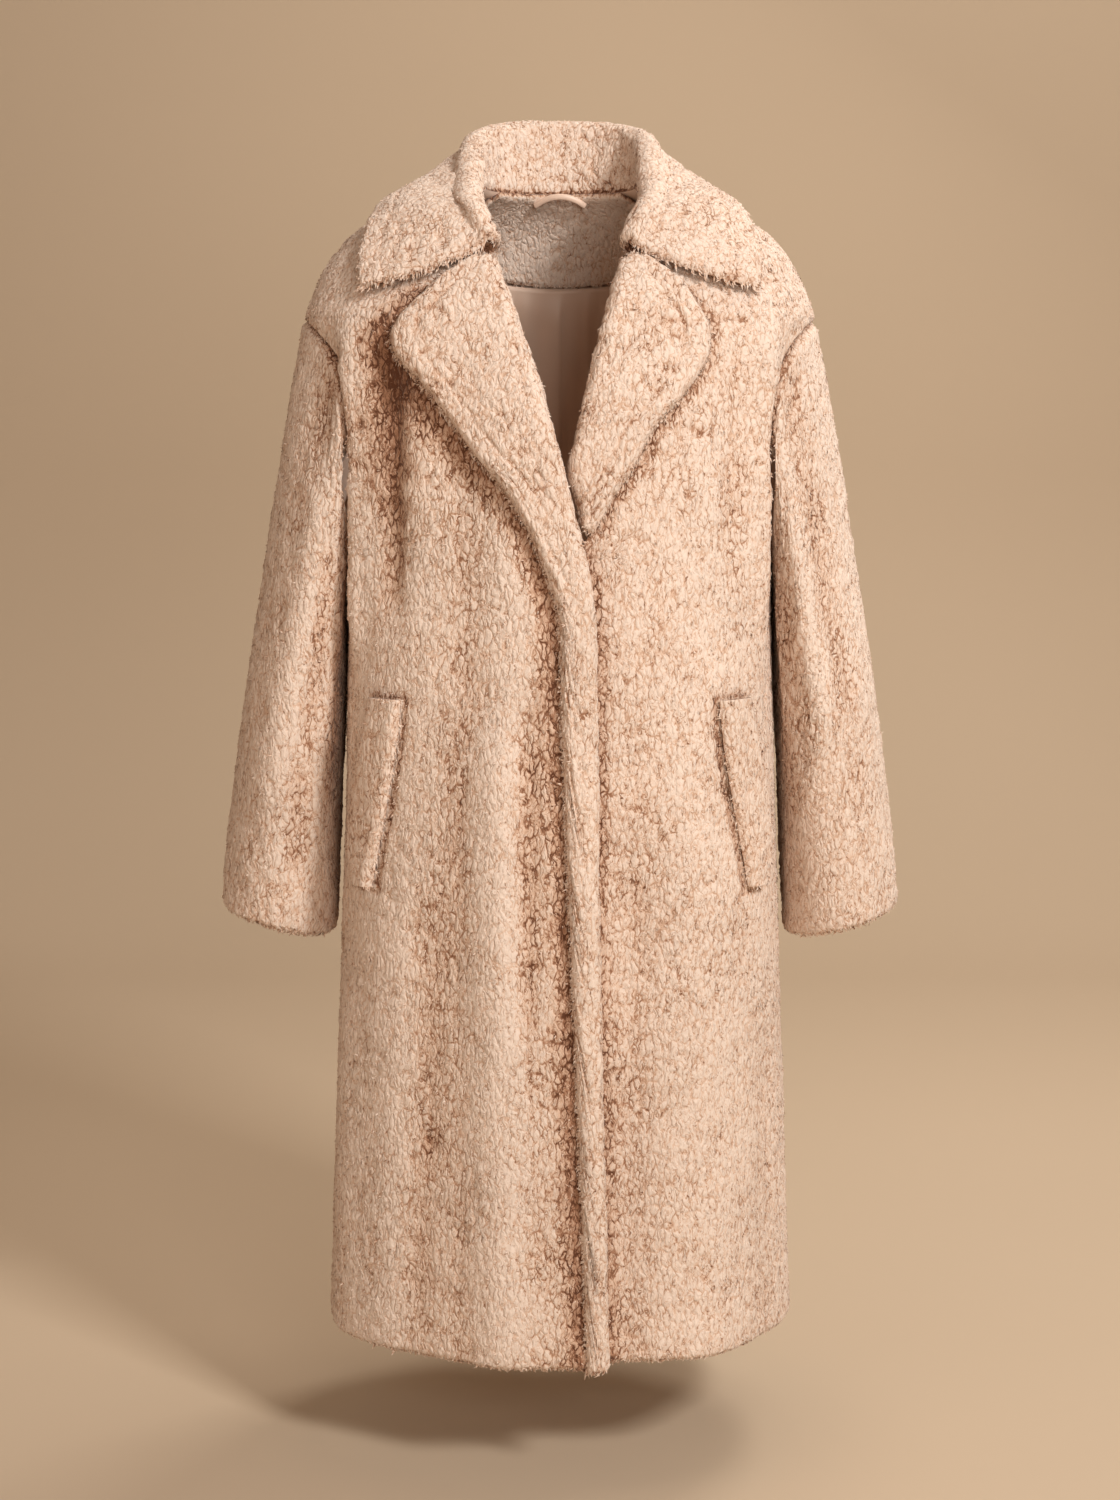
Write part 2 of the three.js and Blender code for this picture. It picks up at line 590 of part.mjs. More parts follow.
function collar() {
  const half = COLLAR_STEPS.map(collarSection);
  const flip = (point) => new THREE.Vector3(-point.x, point.y, point.z);
  const mirrored = half.slice(1).reverse();
  const sections = [
    ...mirrored.map(({ face, foot }) => ({ face: face.map(flip), foot: flip(foot) })),
    ...half,
  ];
  const outer = sections.map(({ face }) => face);
  const inner = outer.map((face, row) =>
    face.map((point, col) => {
      if (col === 0) return sections[row].foot;
      const before = outer[Math.max(row - 1, 0)][col];
      const after = outer[Math.min(row + 1, outer.length - 1)][col];
      const along = after.clone().sub(before);
      const across = face[Math.min(col + 1, face.length - 1)].clone().sub(face[col - 1]);
      const under = point.clone().addScaledVector(across.cross(along).normalize(), COLLAR_WALL);
      keepOff(under, COLLAR_CLEAR);
      return under;
    }),
  );
  return wall(outer, inner, false, half.length - 1);
}

// A pocket welt lies on its front
const welt = columns(WELT, 'z', 'near', 'far');

function pocketWelt(side) {
  const top = WELT[0].z;
  const bottom = WELT[WELT.length - 1].z;
  const place = (offset) => (row, col) => {
    const z = THREE.MathUtils.lerp(top, bottom, row / (WELT_ROWS - 1));
    const x = THREE.MathUtils.lerp(welt.near(z), welt.far(z), WELT_ACROSS[col]);
    return lifted(side, angleAt(side, x, z), z, offset(col));
  };
  const size = [WELT_ROWS, WELT_ACROSS.length];
  return wall(
    grid(...size, place((col) => LIFT + WELT_WALL * WELT_ROUND[col])),
    grid(...size, place(() => LIFT)),
  );
}

// Inside the back
const facingEnd = (t) =>
  THREE.MathUtils.lerp(FACING_SIDE, FACING_MIDDLE, Math.cos((t - 0.5) * Math.PI) ** FACING_CURVE);

function insideBack(t, span, z, depth) {
  const angle = rad(180 + THREE.MathUtils.lerp(-span, span, t));
  const side = angle > Math.PI ? -1 : 1;
  return lifted(side, side < 0 ? 2 * Math.PI - angle : angle, z, -depth);
}

function neckFacing() {
  const place = (depth) => (row, col) => {
    const t = col / (FACING_COLUMNS - 1);
    const z = THREE.MathUtils.lerp(FACING_TOP, facingEnd(t), row / (FACING_ROWS - 1));
    return insideBack(t, FACING_SPAN, z, depth);
  };
  const near = WALL + LIFT;
  const size = [FACING_ROWS, FACING_COLUMNS];
  return wall(grid(...size, place(near)), grid(...size, place(near + FACING_WALL)));
}

function backLining() {
  const place = (extra) => (row, col) => {
    const t = LINING_COLUMNS[col];
    const z = THREE.MathUtils.lerp(facingEnd(t) - 4 * SEAM, LINING_BOTTOM, row / (LINING_ROWS - 1));
    const offMiddle = ((t - 0.5) * rad(2 * LINING_SPAN) * body.back(z)) / PLEAT.width;
    const pleat = PLEAT.height * Math.exp(-offMiddle * offMiddle) * smooth(row / PLEAT.fade);
    return insideBack(t, LINING_SPAN, z, WALL + 2 * LIFT + pleat + extra);
  };
  const size = [LINING_ROWS, LINING_COLUMNS.length];
  return wall(grid(...size, place(0)), grid(...size, place(LINING_WALL)));
}

// The hanger loop arches up in front of the neck seam, its ends against the facing
function hangerLoop() {
  const depth = WALL + LIFT + FACING_WALL + LOOP.gap + LOOP.radius;
  const root = insideBack(0.5 - LOOP.spread / (2 * FACING_SPAN), FACING_SPAN, LOOP.z, depth);
  const points = LOOP_POINTS.map((t) => {
    const arch = 1 - t * t;
    return new THREE.Vector3(root.x * t, root.y - LOOP.out * arch, root.z + LOOP.rise * arch);
  });
  const strap = new THREE.Shape();
  strap.absellipse(0, 0, LOOP.radius, LOOP.radius, 0, 2 * Math.PI);
  return new THREE.ExtrudeGeometry(strap, {
    steps: 12,
    curveSegments: 4,
    bevelEnabled: false,
    extrudePath: new THREE.CatmullRomCurve3(points),
  });
}

const coat = new THREE.Group();

function add(name, geometry, colour, roughness) {
  const material = new THREE.MeshStandardMaterial({ color: colour, roughness, metalness: 0 });
  const mesh = new THREE.Mesh(geometry, material);
  mesh.name = name;
  coat.add(mesh);
}

const addFur = (name, geometry) => add(name, geometry, COLOURS.fur, 0.95);
const addSatin = (name, geometry) => add(name, geometry, COLOURS.satin, 0.45);

addFur('back', backPanel());
for (const [side, name] of [[-1, 'right'], [1, 'left']]) {
  addFur(`front_${name}`, frontPanel(side));
  addFur(`sleeve_${name}`, sleeve(side));
  addFur(`pocket_welt_${name}`, pocketWelt(side));
}
addFur('lapel_right', lapelPiece(-1, lapelRight, RIGHT_HEIGHTS));
addFur('lapel_left', lapelPiece(1, lapelLeft, LEFT_HEIGHTS));
addFur('collar', collar());
addFur('neck_facing', neckFacing());
addSatin('lining_back', backLining());
addSatin('hanger_loop', hangerLoop());

export default coat;
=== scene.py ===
"""A knee-length faux fur coat, filled out as if worn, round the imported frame.

Forms are worked out in millimetres, with +Z up and the front facing -Y, and become metres when a
mesh is made. Each piece of cloth is a closed wall whose outer side carries the curled pile.
"""

import math

import bpy
import numpy as np
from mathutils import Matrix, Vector


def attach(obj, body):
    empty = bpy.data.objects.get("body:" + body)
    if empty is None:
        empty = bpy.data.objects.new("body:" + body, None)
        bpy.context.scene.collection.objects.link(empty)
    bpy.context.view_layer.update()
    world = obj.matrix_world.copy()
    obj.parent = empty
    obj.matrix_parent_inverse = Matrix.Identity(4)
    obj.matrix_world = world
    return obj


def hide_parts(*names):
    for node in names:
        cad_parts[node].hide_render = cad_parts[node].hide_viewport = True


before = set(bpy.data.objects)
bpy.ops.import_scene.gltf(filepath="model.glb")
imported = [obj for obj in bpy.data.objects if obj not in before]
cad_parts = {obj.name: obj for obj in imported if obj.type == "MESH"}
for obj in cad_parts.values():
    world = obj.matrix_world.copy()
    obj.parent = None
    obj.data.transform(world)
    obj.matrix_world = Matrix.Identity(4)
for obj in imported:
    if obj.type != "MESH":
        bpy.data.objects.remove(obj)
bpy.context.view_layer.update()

MM = 0.001

# Driving dimensions of the cloth
WALL = 11  # cloth with its pile
COLLAR_WALL = 12.5  # two layers of cloth with their pile
WELT_WALL = 8
FACING_WALL = 6
LINING_WALL = 1.5
SEAM = 0.3  # gap between neighbouring pieces
LIFT = 1.4  # what lies on a panel stands off it
NECK_Z = 6
HEM_Z = -1076
SHOULDER_Z = -124  # where the shoulder seam meets the sleeve
UNDERARM_Z = -340
ARMHOLE_REACH = 25  # degrees from the side that the armhole reaches forward and back
GORGE_Z = -70  # where the neckline ends and the lapel starts
OVERLAP = 12.3  # how far the right front stands out over the left one
OVERLAP_REACH = 95  # distance from the middle where that step ends
OVERLAP_FADE = 60
OVERLAP_TOP = -130
OVERLAP_RISE = 120
OVERLAP_EDGE = 5  # distance past the middle that the left front's hidden edge reaches
HIDDEN_Z = -318  # where the left front's edge runs under the right front
HIDDEN_FADE = 40
NOSE = 13  # half the depth of a lapel's rolled fold
NOSE_SHARE = 0.4  # and at most this part of the lapel's width
TUCK = 2  # how far a front's edge stays inside the fold
FOLD_GAP = 1.8  # between a front's edge and the fold round it
NECK_GAP = 0.8  # between the panels and the collar's foot
COLLAR_CLEAR = 4.6  # least height of the collar's underside over the body
LEAST_EDGE = 0.12  # part of a rounded wall's thickness that is left at its very edge

# Cross sections of the body: z, half width, front depth, back depth, squareness
BODY = [
    (8, 68, 12, 62, 2.0),
    (0, 88, 24, 73, 2.0),
    (-16, 128, 44, 86, 2.05),
    (-30, 164, 59, 95, 2.1),
    (-42, 189, 71, 101, 2.15),
    (-60, 207, 86, 108, 2.2),
    (-78, 219, 99, 114, 2.3),
    (-100, 229, 111, 120, 2.4),
    (-124, 236, 121, 126, 2.5),
    (-160, 224, 131, 132, 2.6),
    (-200, 211, 138, 137, 2.75),
    (-260, 202, 144, 142, 2.8),
    (-340, 198, 148, 146, 2.8),
    (-482, 201, 152, 150, 2.75),
    (-676, 208, 158, 156, 2.6),
    (-815, 214, 162, 160, 2.5),
    (-976, 221, 167, 165, 2.4),
    (-1076, 226, 170, 170, 2.35),
]

# Folds: side, angle at the top and the bottom, half width, height, top, bottom
FOLDS = [
    (-1, 64, 66, 14, 11, -95, -470),
    (-1, 54, 52, 15, -9, -120, -430),
    (-1, 22, 20, 28, 8, -450, -1140),
    (-1, 11, 10, 12, -6, -430, -800),
    (-1, 40, 44, 24, -6, -620, -1140),
    (-1, 70, 68, 26, 6, -700, -1140),
    (1, 64, 66, 14, 9, -95, -450),
    (1, 55, 53, 15, -6, -130, -400),
    (1, 24, 21, 22, -9, -560, -1140),
    (1, 40, 43, 32, 8, -380, -1140),
    (1, 66, 64, 24, -6, -740, -1140),
    (-1, 164, 160, 26, 7, -190, -1140),
    (-1, 136, 138, 24, -7, -300, -1140),
    (-1, 116, 112, 20, 8, -120, -620),
    (1, 170, 166, 24, -7, -260, -1140),
    (1, 142, 146, 28, 8, -340, -1140),
    (1, 117, 114, 20, 8, -130, -560),
]
FOLD_FADE = 90

NECKLINE = [(6, 72.3), (-6, 77), (-16, 80), (-38, 78), (-70, 67)]

# Lapels: z, roll line, outer edge, height
LAPEL_RIGHT = [
    (-77, 54, 78, 12),
    (-86, 51, 93, 13),
    (-95, 48, 107, 13),
    (-112, 42, 125, 13),
    (-134, 34, 146, 13),
    (-144, 31, 150, 13),
    (-156, 26, 147, 13),
    (-188, 16, 121, 13),
    (-241, 1, 80, 13),
    (-289, -11, 43, 13),
    (-342, -24, 17, 12),
    (-395, -32, 1, 11),
    (-467, -34, -1, 10),
    (-649, -36, -8, 10),
    (-835, -40, -16, 9),
    (-1076, -46, -25, 8),
]
LAPEL_LEFT = [
    (-77, 54, 77, 12),
    (-86, 51, 91, 13),
    (-97, 47, 106, 13),
    (-118, 41, 121, 13),
    (-140, 35, 133, 13),
    (-160, 30, 131, 13),
    (-197, 21, 109, 13),
    (-225, 15, 84, 13),
    (-263, 6.5, 64, 12),
    (-289, 11.8, 46, 11),
    (-318, 19, 30, 8),
]

# Half the collar: part, top x, y, z, angle and z where the edge rests, crown
COLLAR = [
    (0, 0, 74, 55, 180, -50, 6),
    (0.15, 30, 70, 54, 163, -48, 7),
    (0.3, 54, 55, 48, 142, -39, 9),
    (0.45, 66, 28, 36, 118, -28, 10),
    (0.6, 69, -10, 11, 97, -24, 9),
    (0.75, 70, -46, -20, 80, -38, 9),
    (0.9, 69, -72, -52, 70, -77, 6),
    (1, 64, -81, -74, 64, -106, 1),
]
COLLAR_ROLL = 14
COLLAR_FLAT = 0.65
FALL_DROP = 0.8

CUFF_X, CUFF_Y, CUFF_Z = 271, 10, -692
CUFF_HALF_WIDTH, CUFF_HALF_DEPTH, CUFF_TILT = 55, 72, 13.5
SLEEVE_BULGE = 8
SLEEVE_FADE = 0.15
# Folds of a sleeve: side, turn, half width in degrees, height, from, to
SLEEVE_FOLDS = [
    (-1, 60, 22, 6, 0.1, 0.85),
    (-1, 104, 18, -6, 0.15, 0.95),
    (-1, 250, 24, 6, 0.2, 1.1),
    (1, 84, 18, 6, 0.12, 0.7),
    (1, 122, 16, -6, 0.1, 0.6),
    (1, 268, 22, -5, 0.25, 1.1),
]

# Pocket welts: z, nearer and further edge
WELT = [
    (-468, 142, 171),
    (-500, 145, 178),
    (-560, 155, 189),
    (-610, 165, 193),
    (-642, 171, 188),
]

FACING_SPAN = 62
FACING_TOP = 7
FACING_SIDE = -52
FACING_MIDDLE = -84
FACING_CURVE = 0.7
LINING_SPAN = 70
LINING_BOTTOM = -420
PLEAT_HEIGHT, PLEAT_WIDTH = 6, 3
LOOP_SPREAD, LOOP_Z, LOOP_RISE, LOOP_OUT, LOOP_RADIUS, LOOP_GAP = 23, 3, 8, 7, 2.2, 0.8

# Grid of the fine surfaces: outer squares along one inner face. A piece has this many times a whole
# number of rows and of columns between its edges.
INNER_STEP = 3

# Pile, in millimetres. An openness to the light of 1 is the palest fur and 0 the darkest; a low openness is
# painted shade in the fur's colour.
AROUND = 190  # length of pile for each radian round the body
CLUMP_WIDTH, CLUMP_LENGTH = 11.0, 20.0
PILE_SINK = 0.5
SEAM_REACH = 7.0  # how far from a seam the pile sinks towards it
# Painted shade: a wall's inner side gets a low openness, so the rims between its sides darken towards it
INNER_OPENNESS = 0.2
# Painted shade in the hollows of folds, for each millimetre of a fold's depth; less on the left front
FOLD_REACH = 26.0  # distance over which the depth of a fold is taken
FOLD_SHADE = 0.052  # darkening for each millimetre of depth
LEFT_FRONT_FOLD_SHADE = 0.018

# Locks: blades of pile that stand out, with one for each so many square millimetres of cloth
BLADE_LENGTH = 5.2
BLADE_WIDTH = 1.25
FRINGE = 9.0  # how far from a free edge the locks turn outwards
LOCK_AREA = 15
BACK_LOCK_AREA = 26

# Shade painted where the photo is dark: how dark, where and how wide
LAPEL_SHADE = {-1: 0.5, 1: 0.3}
CHEST_SHADE, CHEST_X, CHEST_Z, CHEST_WIDTH, CHEST_HEIGHT = 0.42, 152, -225, 30, 90
BAND_SHADE, BAND_SHADE_WIDTH = 0.35, 9
WELT_GROOVE, WELT_SHADE = 2.2, 0.3
SLEEVE_SHADE = {-1: 0.42, 1: 0.22}
SLEEVE_SHADE_TURN, SLEEVE_SHADE_WIDTH = 138, 17
# Below zero, so it is painted light that makes the neck facing paler
FACING_SHADE = -0.14

# Sewn edges of the collar and lapels: distance from the edge and width of the groove
EDGE_GROOVE, EDGE_GROOVE_WIDTH = 25, 2.0


def smooth(t):
    t = np.clip(t, 0, 1)
    return t * t * (3 - 2 * t)


def lerp(a, b, t):
    return a + (b - a) * t


def curve(rows, column):
    """A smooth curve through one column of a table, level beyond both ends."""
    table = np.array(sorted(rows), float)
    at, value = table[:, 0], table[:, column]
    rise = np.diff(value) / np.diff(at)
    before = np.concatenate([rise[:1], rise])
    after = np.concatenate([rise, rise[-1:]])
    both = np.where(before + after == 0, 1, before + after)
    slope = np.where(before * after <= 0, 0, 2 * before * after / both)

    def value_at(wanted):
        x = np.clip(wanted, at[0], at[-1])
        i = np.clip(np.searchsorted(at, x, side="right") - 1, 0, len(rise) - 1)
        span = at[i + 1] - at[i]
        t = (x - at[i]) / span
        mix = t * t * (3 - 2 * t)
        lead = t * (1 - t) ** 2 * slope[i] * span
        trail = t * t * (t - 1) * slope[i + 1] * span
        return value[i] * (1 - mix) + value[i + 1] * mix + lead + trail

    return value_at


body_half, body_front, body_back, body_square = (curve(BODY, i) for i in range(1, 5))
neckline = curve(NECKLINE, 1)
welt_near, welt_far = curve(WELT, 1), curve(WELT, 2)


def body_point(side, angle, z):
    """Outer surface of the body. The angle runs from the front round one side to the back."""
    side, angle, z = np.broadcast_arrays(*(np.asarray(v, float) for v in (side, angle, z)))
    sine, cosine = np.sin(angle), np.cos(angle)
    n = body_square(z)
    depth = np.where(cosine > 0, body_front(z), body_back(z))
    plain = ((np.abs(sine) / body_half(z)) ** n + (np.abs(cosine) / depth) ** n) ** (-1 / n)
    radius = plain.copy()
    for fold_side, start, end, width, height, top, bottom in FOLDS:
        along = (top - z) / (top - bottom)
        across = (angle - np.radians(lerp(start, end, along))) * plain / width
        fade = smooth((top - z) / FOLD_FADE) * smooth((z - bottom) / FOLD_FADE)
        radius += (side == fold_side) * height * fade * np.exp(-across * across)
    step = smooth((OVERLAP_REACH - radius * sine) / OVERLAP_FADE)
    step = OVERLAP * step * smooth((OVERLAP_TOP - z) / OVERLAP_RISE)
    radius += np.where((side < 0) & (cosine > 0), step, 0)
    return np.stack([side * radius * sine, -radius * cosine, z], -1)


def unit(v):
    return v / np.maximum(np.linalg.norm(v, axis=-1, keepdims=True), 1e-9)


def body_normal(side, angle, z):
    turn, rise = 0.01, 1
    round_way = body_point(side, angle + turn, z) - body_point(side, angle - turn, z)
    up = body_point(side, angle, z + rise) - body_point(side, angle, z - rise)
    return unit(np.cross(round_way, up) * np.asarray(side, float)[..., None])


def lifted(side, angle, z, offset):
    side, angle, z, offset = np.broadcast_arrays(
        *(np.asarray(v, float) for v in (side, angle, z, offset))
    )
    return body_point(side, angle, z) + body_normal(side, angle, z) * offset[..., None]


def angle_at(side, x, z):
    """The angle at which the front surface reaches a distance from the middle."""
    x, z = np.broadcast_arrays(np.asarray(x, float), np.asarray(z, float))
    low, high = np.full(x.shape, math.radians(-60)), np.full(x.shape, math.radians(90))
    for _ in range(26):
        middle = (low + high) / 2
        inside = body_point(side, middle, z)[..., 0] * side < x
        low, high = np.where(inside, middle, low), np.where(inside, high, middle)
    return low


# Pile: a seeded lattice of random values, smooth noise on it, and the curled clumps


def lattice(i, j, seed):
    h = (i.astype(np.int64) * 374761393 + j.astype(np.int64) * 668265263 + seed * 362437) & 0xFFFFFFFF
    h = ((h ^ (h >> 13)) * 1274126177) & 0xFFFFFFFF
    return ((h ^ (h >> 16)) & 0xFFFFFF) / 0xFFFFFF


def noise(u, v, seed):
    """Smooth noise from -1 to 1, one lump for each unit."""
    i, j = np.floor(u), np.floor(v)
    a, b = smooth(u - i), smooth(v - j)
    top = lerp(lattice(i, j, seed), lattice(i + 1, j, seed), a)
    bottom = lerp(lattice(i, j + 1, seed), lattice(i + 1, j + 1, seed), a)
    return 2 * lerp(top, bottom, b) - 1


def cells(u, v, seed):
    """Distances to the nearest and the second nearest of scattered centres, and the nearest's value."""
    i0, j0 = np.floor(u), np.floor(v)
    first = np.full(u.shape, 9.0)
    second = np.full(u.shape, 9.0)
    value = np.zeros(u.shape)
    for di in (-1, 0, 1):
        for dj in (-1, 0, 1):
            i, j = i0 + di, j0 + dj
            x = i + 0.1 + 0.8 * lattice(i, j, seed)
            y = j + 0.1 + 0.8 * lattice(i, j, seed + 1)
            far = np.hypot(u - x, v - y)
            nearer = far < first
            second = np.where(nearer, first, np.minimum(second, far))
            value = np.where(nearer, lattice(i, j, seed + 2), value)
            first = np.where(nearer, far, first)
    return first, second, value


def slope_length(z):
    """Length down the body's side to a height."""
    at = np.linspace(NECK_Z + 4, HEM_Z, 2400)
    length = np.concatenate([[0], np.cumsum(np.hypot(np.diff(at), np.diff(body_half(at))))])
    return np.interp(-z, -at, length)


def pile(u, v, seed):
    """Relief of the pile in millimetres, and how open to the light it is, from 0 to 1."""
    uu = u + 9 * noise(u / 34, v / 40, seed + 10) + 3 * noise(u / 12, v / 14, seed + 11)
    vv = v + 9 * noise(u / 38, v / 34, seed + 12) + 3 * noise(u / 11, v / 15, seed + 13)
    lean = 0.5 * noise(u / 70, v / 90, seed + 14)
    first, second, value = cells((uu + lean * vv) / CLUMP_WIDTH, vv / CLUMP_LENGTH, seed + 20)
    crack = 1 - smooth((second - first) / 0.4)
    deep = smooth(0.35 + 0.9 * noise(u / 26, v / 34, seed + 15))
    small = noise(uu / 5, vv / 8, seed + 30)
    height = 0.9 * (value - 0.5) + 0.6 * (1 - first) - 1.9 * crack * deep
    height += 0.55 * small + 0.7 * noise(u / 60, v / 80, seed)
    # Less open in the cracks between clumps: partly the pile's own colour, partly painted shade
    open_air = 0.82 - 0.16 * crack * deep + 0.08 * (value - 0.5) + 0.05 * small
    return height, np.clip(open_air, 0, 1)


# Grids of points


def spans(points, axis):
    """Length along a grid, from its start."""
    step = np.linalg.norm(np.diff(points, axis=axis), axis=-1)
    total = np.cumsum(step, axis=axis)
    zero = np.zeros_like(np.take(total, [0], axis=axis))
    return np.concatenate([zero, total], axis=axis)


def hollow(points, normal):
    """How far each point lies below its neighbours on both sides along a row, in millimetres."""
    step = float(np.median(np.linalg.norm(np.diff(points, axis=1), axis=-1)))
    k = max(2, min(int(FOLD_REACH / step), (points.shape[1] - 1) // 3))
    left = np.concatenate([np.repeat(points[:, :1], k, 1), points[:, :-k]], 1)
    right = np.concatenate([points[:, k:], np.repeat(points[:, -1:], k, 1)], 1)
    depth = np.sum(((left + right) / 2 - points) * normal, -1)
    column = np.arange(points.shape[1])
    return depth * smooth(np.minimum(column, column[::-1]) / (2 * k))


def grid_normal(points, inner):
    normal = unit(np.cross(np.gradient(points, axis=0), np.gradient(points, axis=1)))
    if np.sum(normal * (points - inner)) < 0:
        normal = -normal
    return normal


def round_edges(outer, inner, radii):
    """Brings both sides of a wall together along its edges: top, bottom, left and right radii."""
    v, u = spans(outer, 0), spans(outer, 1)
    near = [v, v[-1:] - v, u, u[:, -1:] - u]
    factor = np.ones(outer.shape[:2])
    for distance, radius in zip(near, radii):
        if radius:
            part = 1 - np.clip(distance / radius, 0, 1)
            factor = np.minimum(factor, np.sqrt(1 - part * part))
    factor = np.maximum(factor, LEAST_EDGE)[..., None]
    middle = (outer + inner) / 2
    return middle + (outer - middle) * factor, middle + (inner - middle) * factor


def make_mesh(name, points, faces, slots=None):
    """A mesh object from points in millimetres and lists of faces with the same number of corners."""
    mesh = bpy.data.meshes.new(name)
    corners = np.concatenate([block.reshape(-1) for block in faces])
    counts = np.concatenate([np.full(len(block), block.shape[1]) for block in faces])
    mesh.vertices.add(len(points))
    mesh.vertices.foreach_set("co", (points * MM).astype(np.float32).reshape(-1))
    mesh.loops.add(len(corners))
    mesh.loops.foreach_set("vertex_index", corners.astype(np.int32))
    mesh.polygons.add(len(counts))
    starts = np.concatenate([[0], np.cumsum(counts)[:-1]])
    mesh.polygons.foreach_set("loop_start", starts.astype(np.int32))
    mesh.polygons.foreach_set("use_smooth", np.full(len(counts), True))
    if slots is not None:
        mesh.polygons.foreach_set("material_index", slots.astype(np.int32))
    mesh.update(calc_edges=True)
    obj = bpy.data.objects.new(name, mesh)
    bpy.context.collection.objects.link(obj)
    return obj


def set_value(obj, name, values):
    layer = obj.data.attributes.new(name, "FLOAT", "POINT")
    layer.data.foreach_set("value", values.astype(np.float32))


def shell(name, outer, inner, shade, materials):
    """A closed wall between two grids. Its inner side has one face for each few of the outer side's."""
    rows, cols = outer.shape[:2]
    count = rows * cols
    end, last = rows - 1, cols - 1
    points = np.concatenate([outer.reshape(-1, 3), inner.reshape(-1, 3)])
    at = lambda layer, row, col: layer * count + row * cols + col
    r, c = np.meshgrid(np.arange(end), np.arange(last), indexing="ij")
    r, c = r.reshape(-1), c.reshape(-1)
    outside = np.stack([at(0, r, c), at(0, r, c + 1), at(0, r + 1, c + 1), at(0, r + 1, c)], -1)
    r, c = np.arange(end), np.arange(last)
    rims = [
        np.stack([at(0, 0, c + 1), at(0, 0, c), at(1, 0, c), at(1, 0, c + 1)], -1),
        np.stack([at(0, end, c), at(0, end, c + 1), at(1, end, c + 1), at(1, end, c)], -1),
        np.stack([at(0, r, 0), at(0, r + 1, 0), at(1, r + 1, 0), at(1, r, 0)], -1),
        np.stack([at(0, r + 1, last), at(0, r, last), at(1, r, last), at(1, r + 1, last)], -1),
    ]
    k = INNER_STEP
    inside = {}
    for row in range(0, end, k):
        for col in range(0, last, k):
            top = [(row, col + s) for s in range(k if row == 0 else 1)]
            right = [(row + s, col + k) for s in range(k if col + k >= last else 1)]
            bottom = [(row + k, col + k - s) for s in range(k if row + k >= end else 1)]
            left = [(row + k - s, col) for s in range(k if col == 0 else 1)]
            ids = [at(1, a, b) for a, b in top + right + bottom + left][::-1]
            inside.setdefault(len(ids), []).append(ids)
    blocks = [outside, *rims, *(np.array(inside[size]) for size in sorted(inside))]
    volume = sum(
        np.einsum("ij,ij->", points[b[:, 0]], np.cross(points[b[:, i]], points[b[:, i + 1]]))
        for b in blocks
        for i in range(1, b.shape[1] - 1)
    )
    if volume < 0:
        blocks = [block[:, ::-1] for block in blocks]
    used = np.unique(np.concatenate([block.reshape(-1) for block in blocks]))
    remap = np.zeros(2 * count, int)
    remap[used] = np.arange(len(used))
    inner_faces = sum(len(block) for block in blocks[1 + len(rims):])
    outer_faces = sum(len(block) for block in blocks[: 1 + len(rims)])
    slots = np.concatenate([np.zeros(outer_faces), np.full(inner_faces, len(materials) - 1)])
    obj = make_mesh(name, points[used], [remap[block] for block in blocks], slots)
    # The inner side's low openness paints shade on the rims towards the inside
    values = np.concatenate([shade.reshape(-1), np.full(count, INNER_OPENNESS)])
    set_value(obj, "pile", values[used])
    for material in materials:
        obj.data.materials.append(material)
    return obj


random = np.random.default_rng(7)


def tufts(name, surface, normal, down, shade, lock_area, fringe):
    """Curled locks of pile that stand out of a surface, each a bent blade of three triangles. The
    fringe is the way off a free edge, as long as it is near."""
    size = np.linalg.norm(
        np.cross(surface[1:, :-1] - surface[:-1, :-1], surface[:-1, 1:] - surface[:-1, :-1]), axis=-1
    )
    loose = np.linalg.norm(fringe, axis=-1)
    weight = size * (0.15 + shade[:-1, :-1] + 3.5 * loose[:-1, :-1])
    count = int(size.sum() / lock_area)
    pick = random.choice(size.size, count, p=(weight / weight.sum()).reshape(-1))
    r, c = pick // size.shape[1], pick % size.shape[1]
    a, b = random.random(count)[:, None], random.random(count)[:, None]
    near = lambda grid: lerp(
        lerp(grid[r, c], grid[r + 1, c], a), lerp(grid[r, c + 1], grid[r + 1, c + 1], a), b
    )
    base, out, flow = near(surface), unit(near(normal)), unit(near(down))
    light = near(shade[..., None])[:, 0]
    off = near(fringe)
    scale = 1 + 0.7 * np.linalg.norm(off, axis=-1, keepdims=True)
    across = unit(np.cross(out, flow))
    turn = random.normal(0, 0.85, count)[:, None]
    way = unit(flow * np.cos(turn) + across * np.sin(turn))
    rise = random.uniform(0.35, 1.0, count)[:, None]
    first = unit(way + out * rise + off * 2.2)
    bend = random.normal(0, 0.6, count)[:, None]
    second = unit(way * 1.2 - out * random.uniform(-0.25, 0.5, count)[:, None] + across * bend + off)
    length = scale * BLADE_LENGTH * random.uniform(0.6, 1.15, count)[:, None]
    wide = unit(np.cross(first, out)) * scale * BLADE_WIDTH * random.uniform(0.35, 0.7, count)[:, None]
    start = base - out * 0.8
    middle = start + first * length * 0.5
    tip = middle + second * length * 0.5
    points = np.stack([start - wide, start + wide, middle + wide * 0.8, middle - wide * 0.8, tip], 1)
    ids = np.arange(count)[:, None] * 5
    obj = make_mesh(name, points.reshape(-1, 3), [ids + [0, 1, 2, 3], ids + [3, 2, 4]])
    tone = random.normal(0, 0.08, count)[:, None]
    # Each lock carries the painted shade of the surface under it and is darker towards its base
    values = np.clip(light[:, None] * 0.5 + [0.12, 0.12, 0.34, 0.34, 0.52] + tone, 0, 1)
    set_value(obj, "pile", values.reshape(-1))
    obj.data.materials.append(FUR)
    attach(obj, "root")
    return obj


# Materials


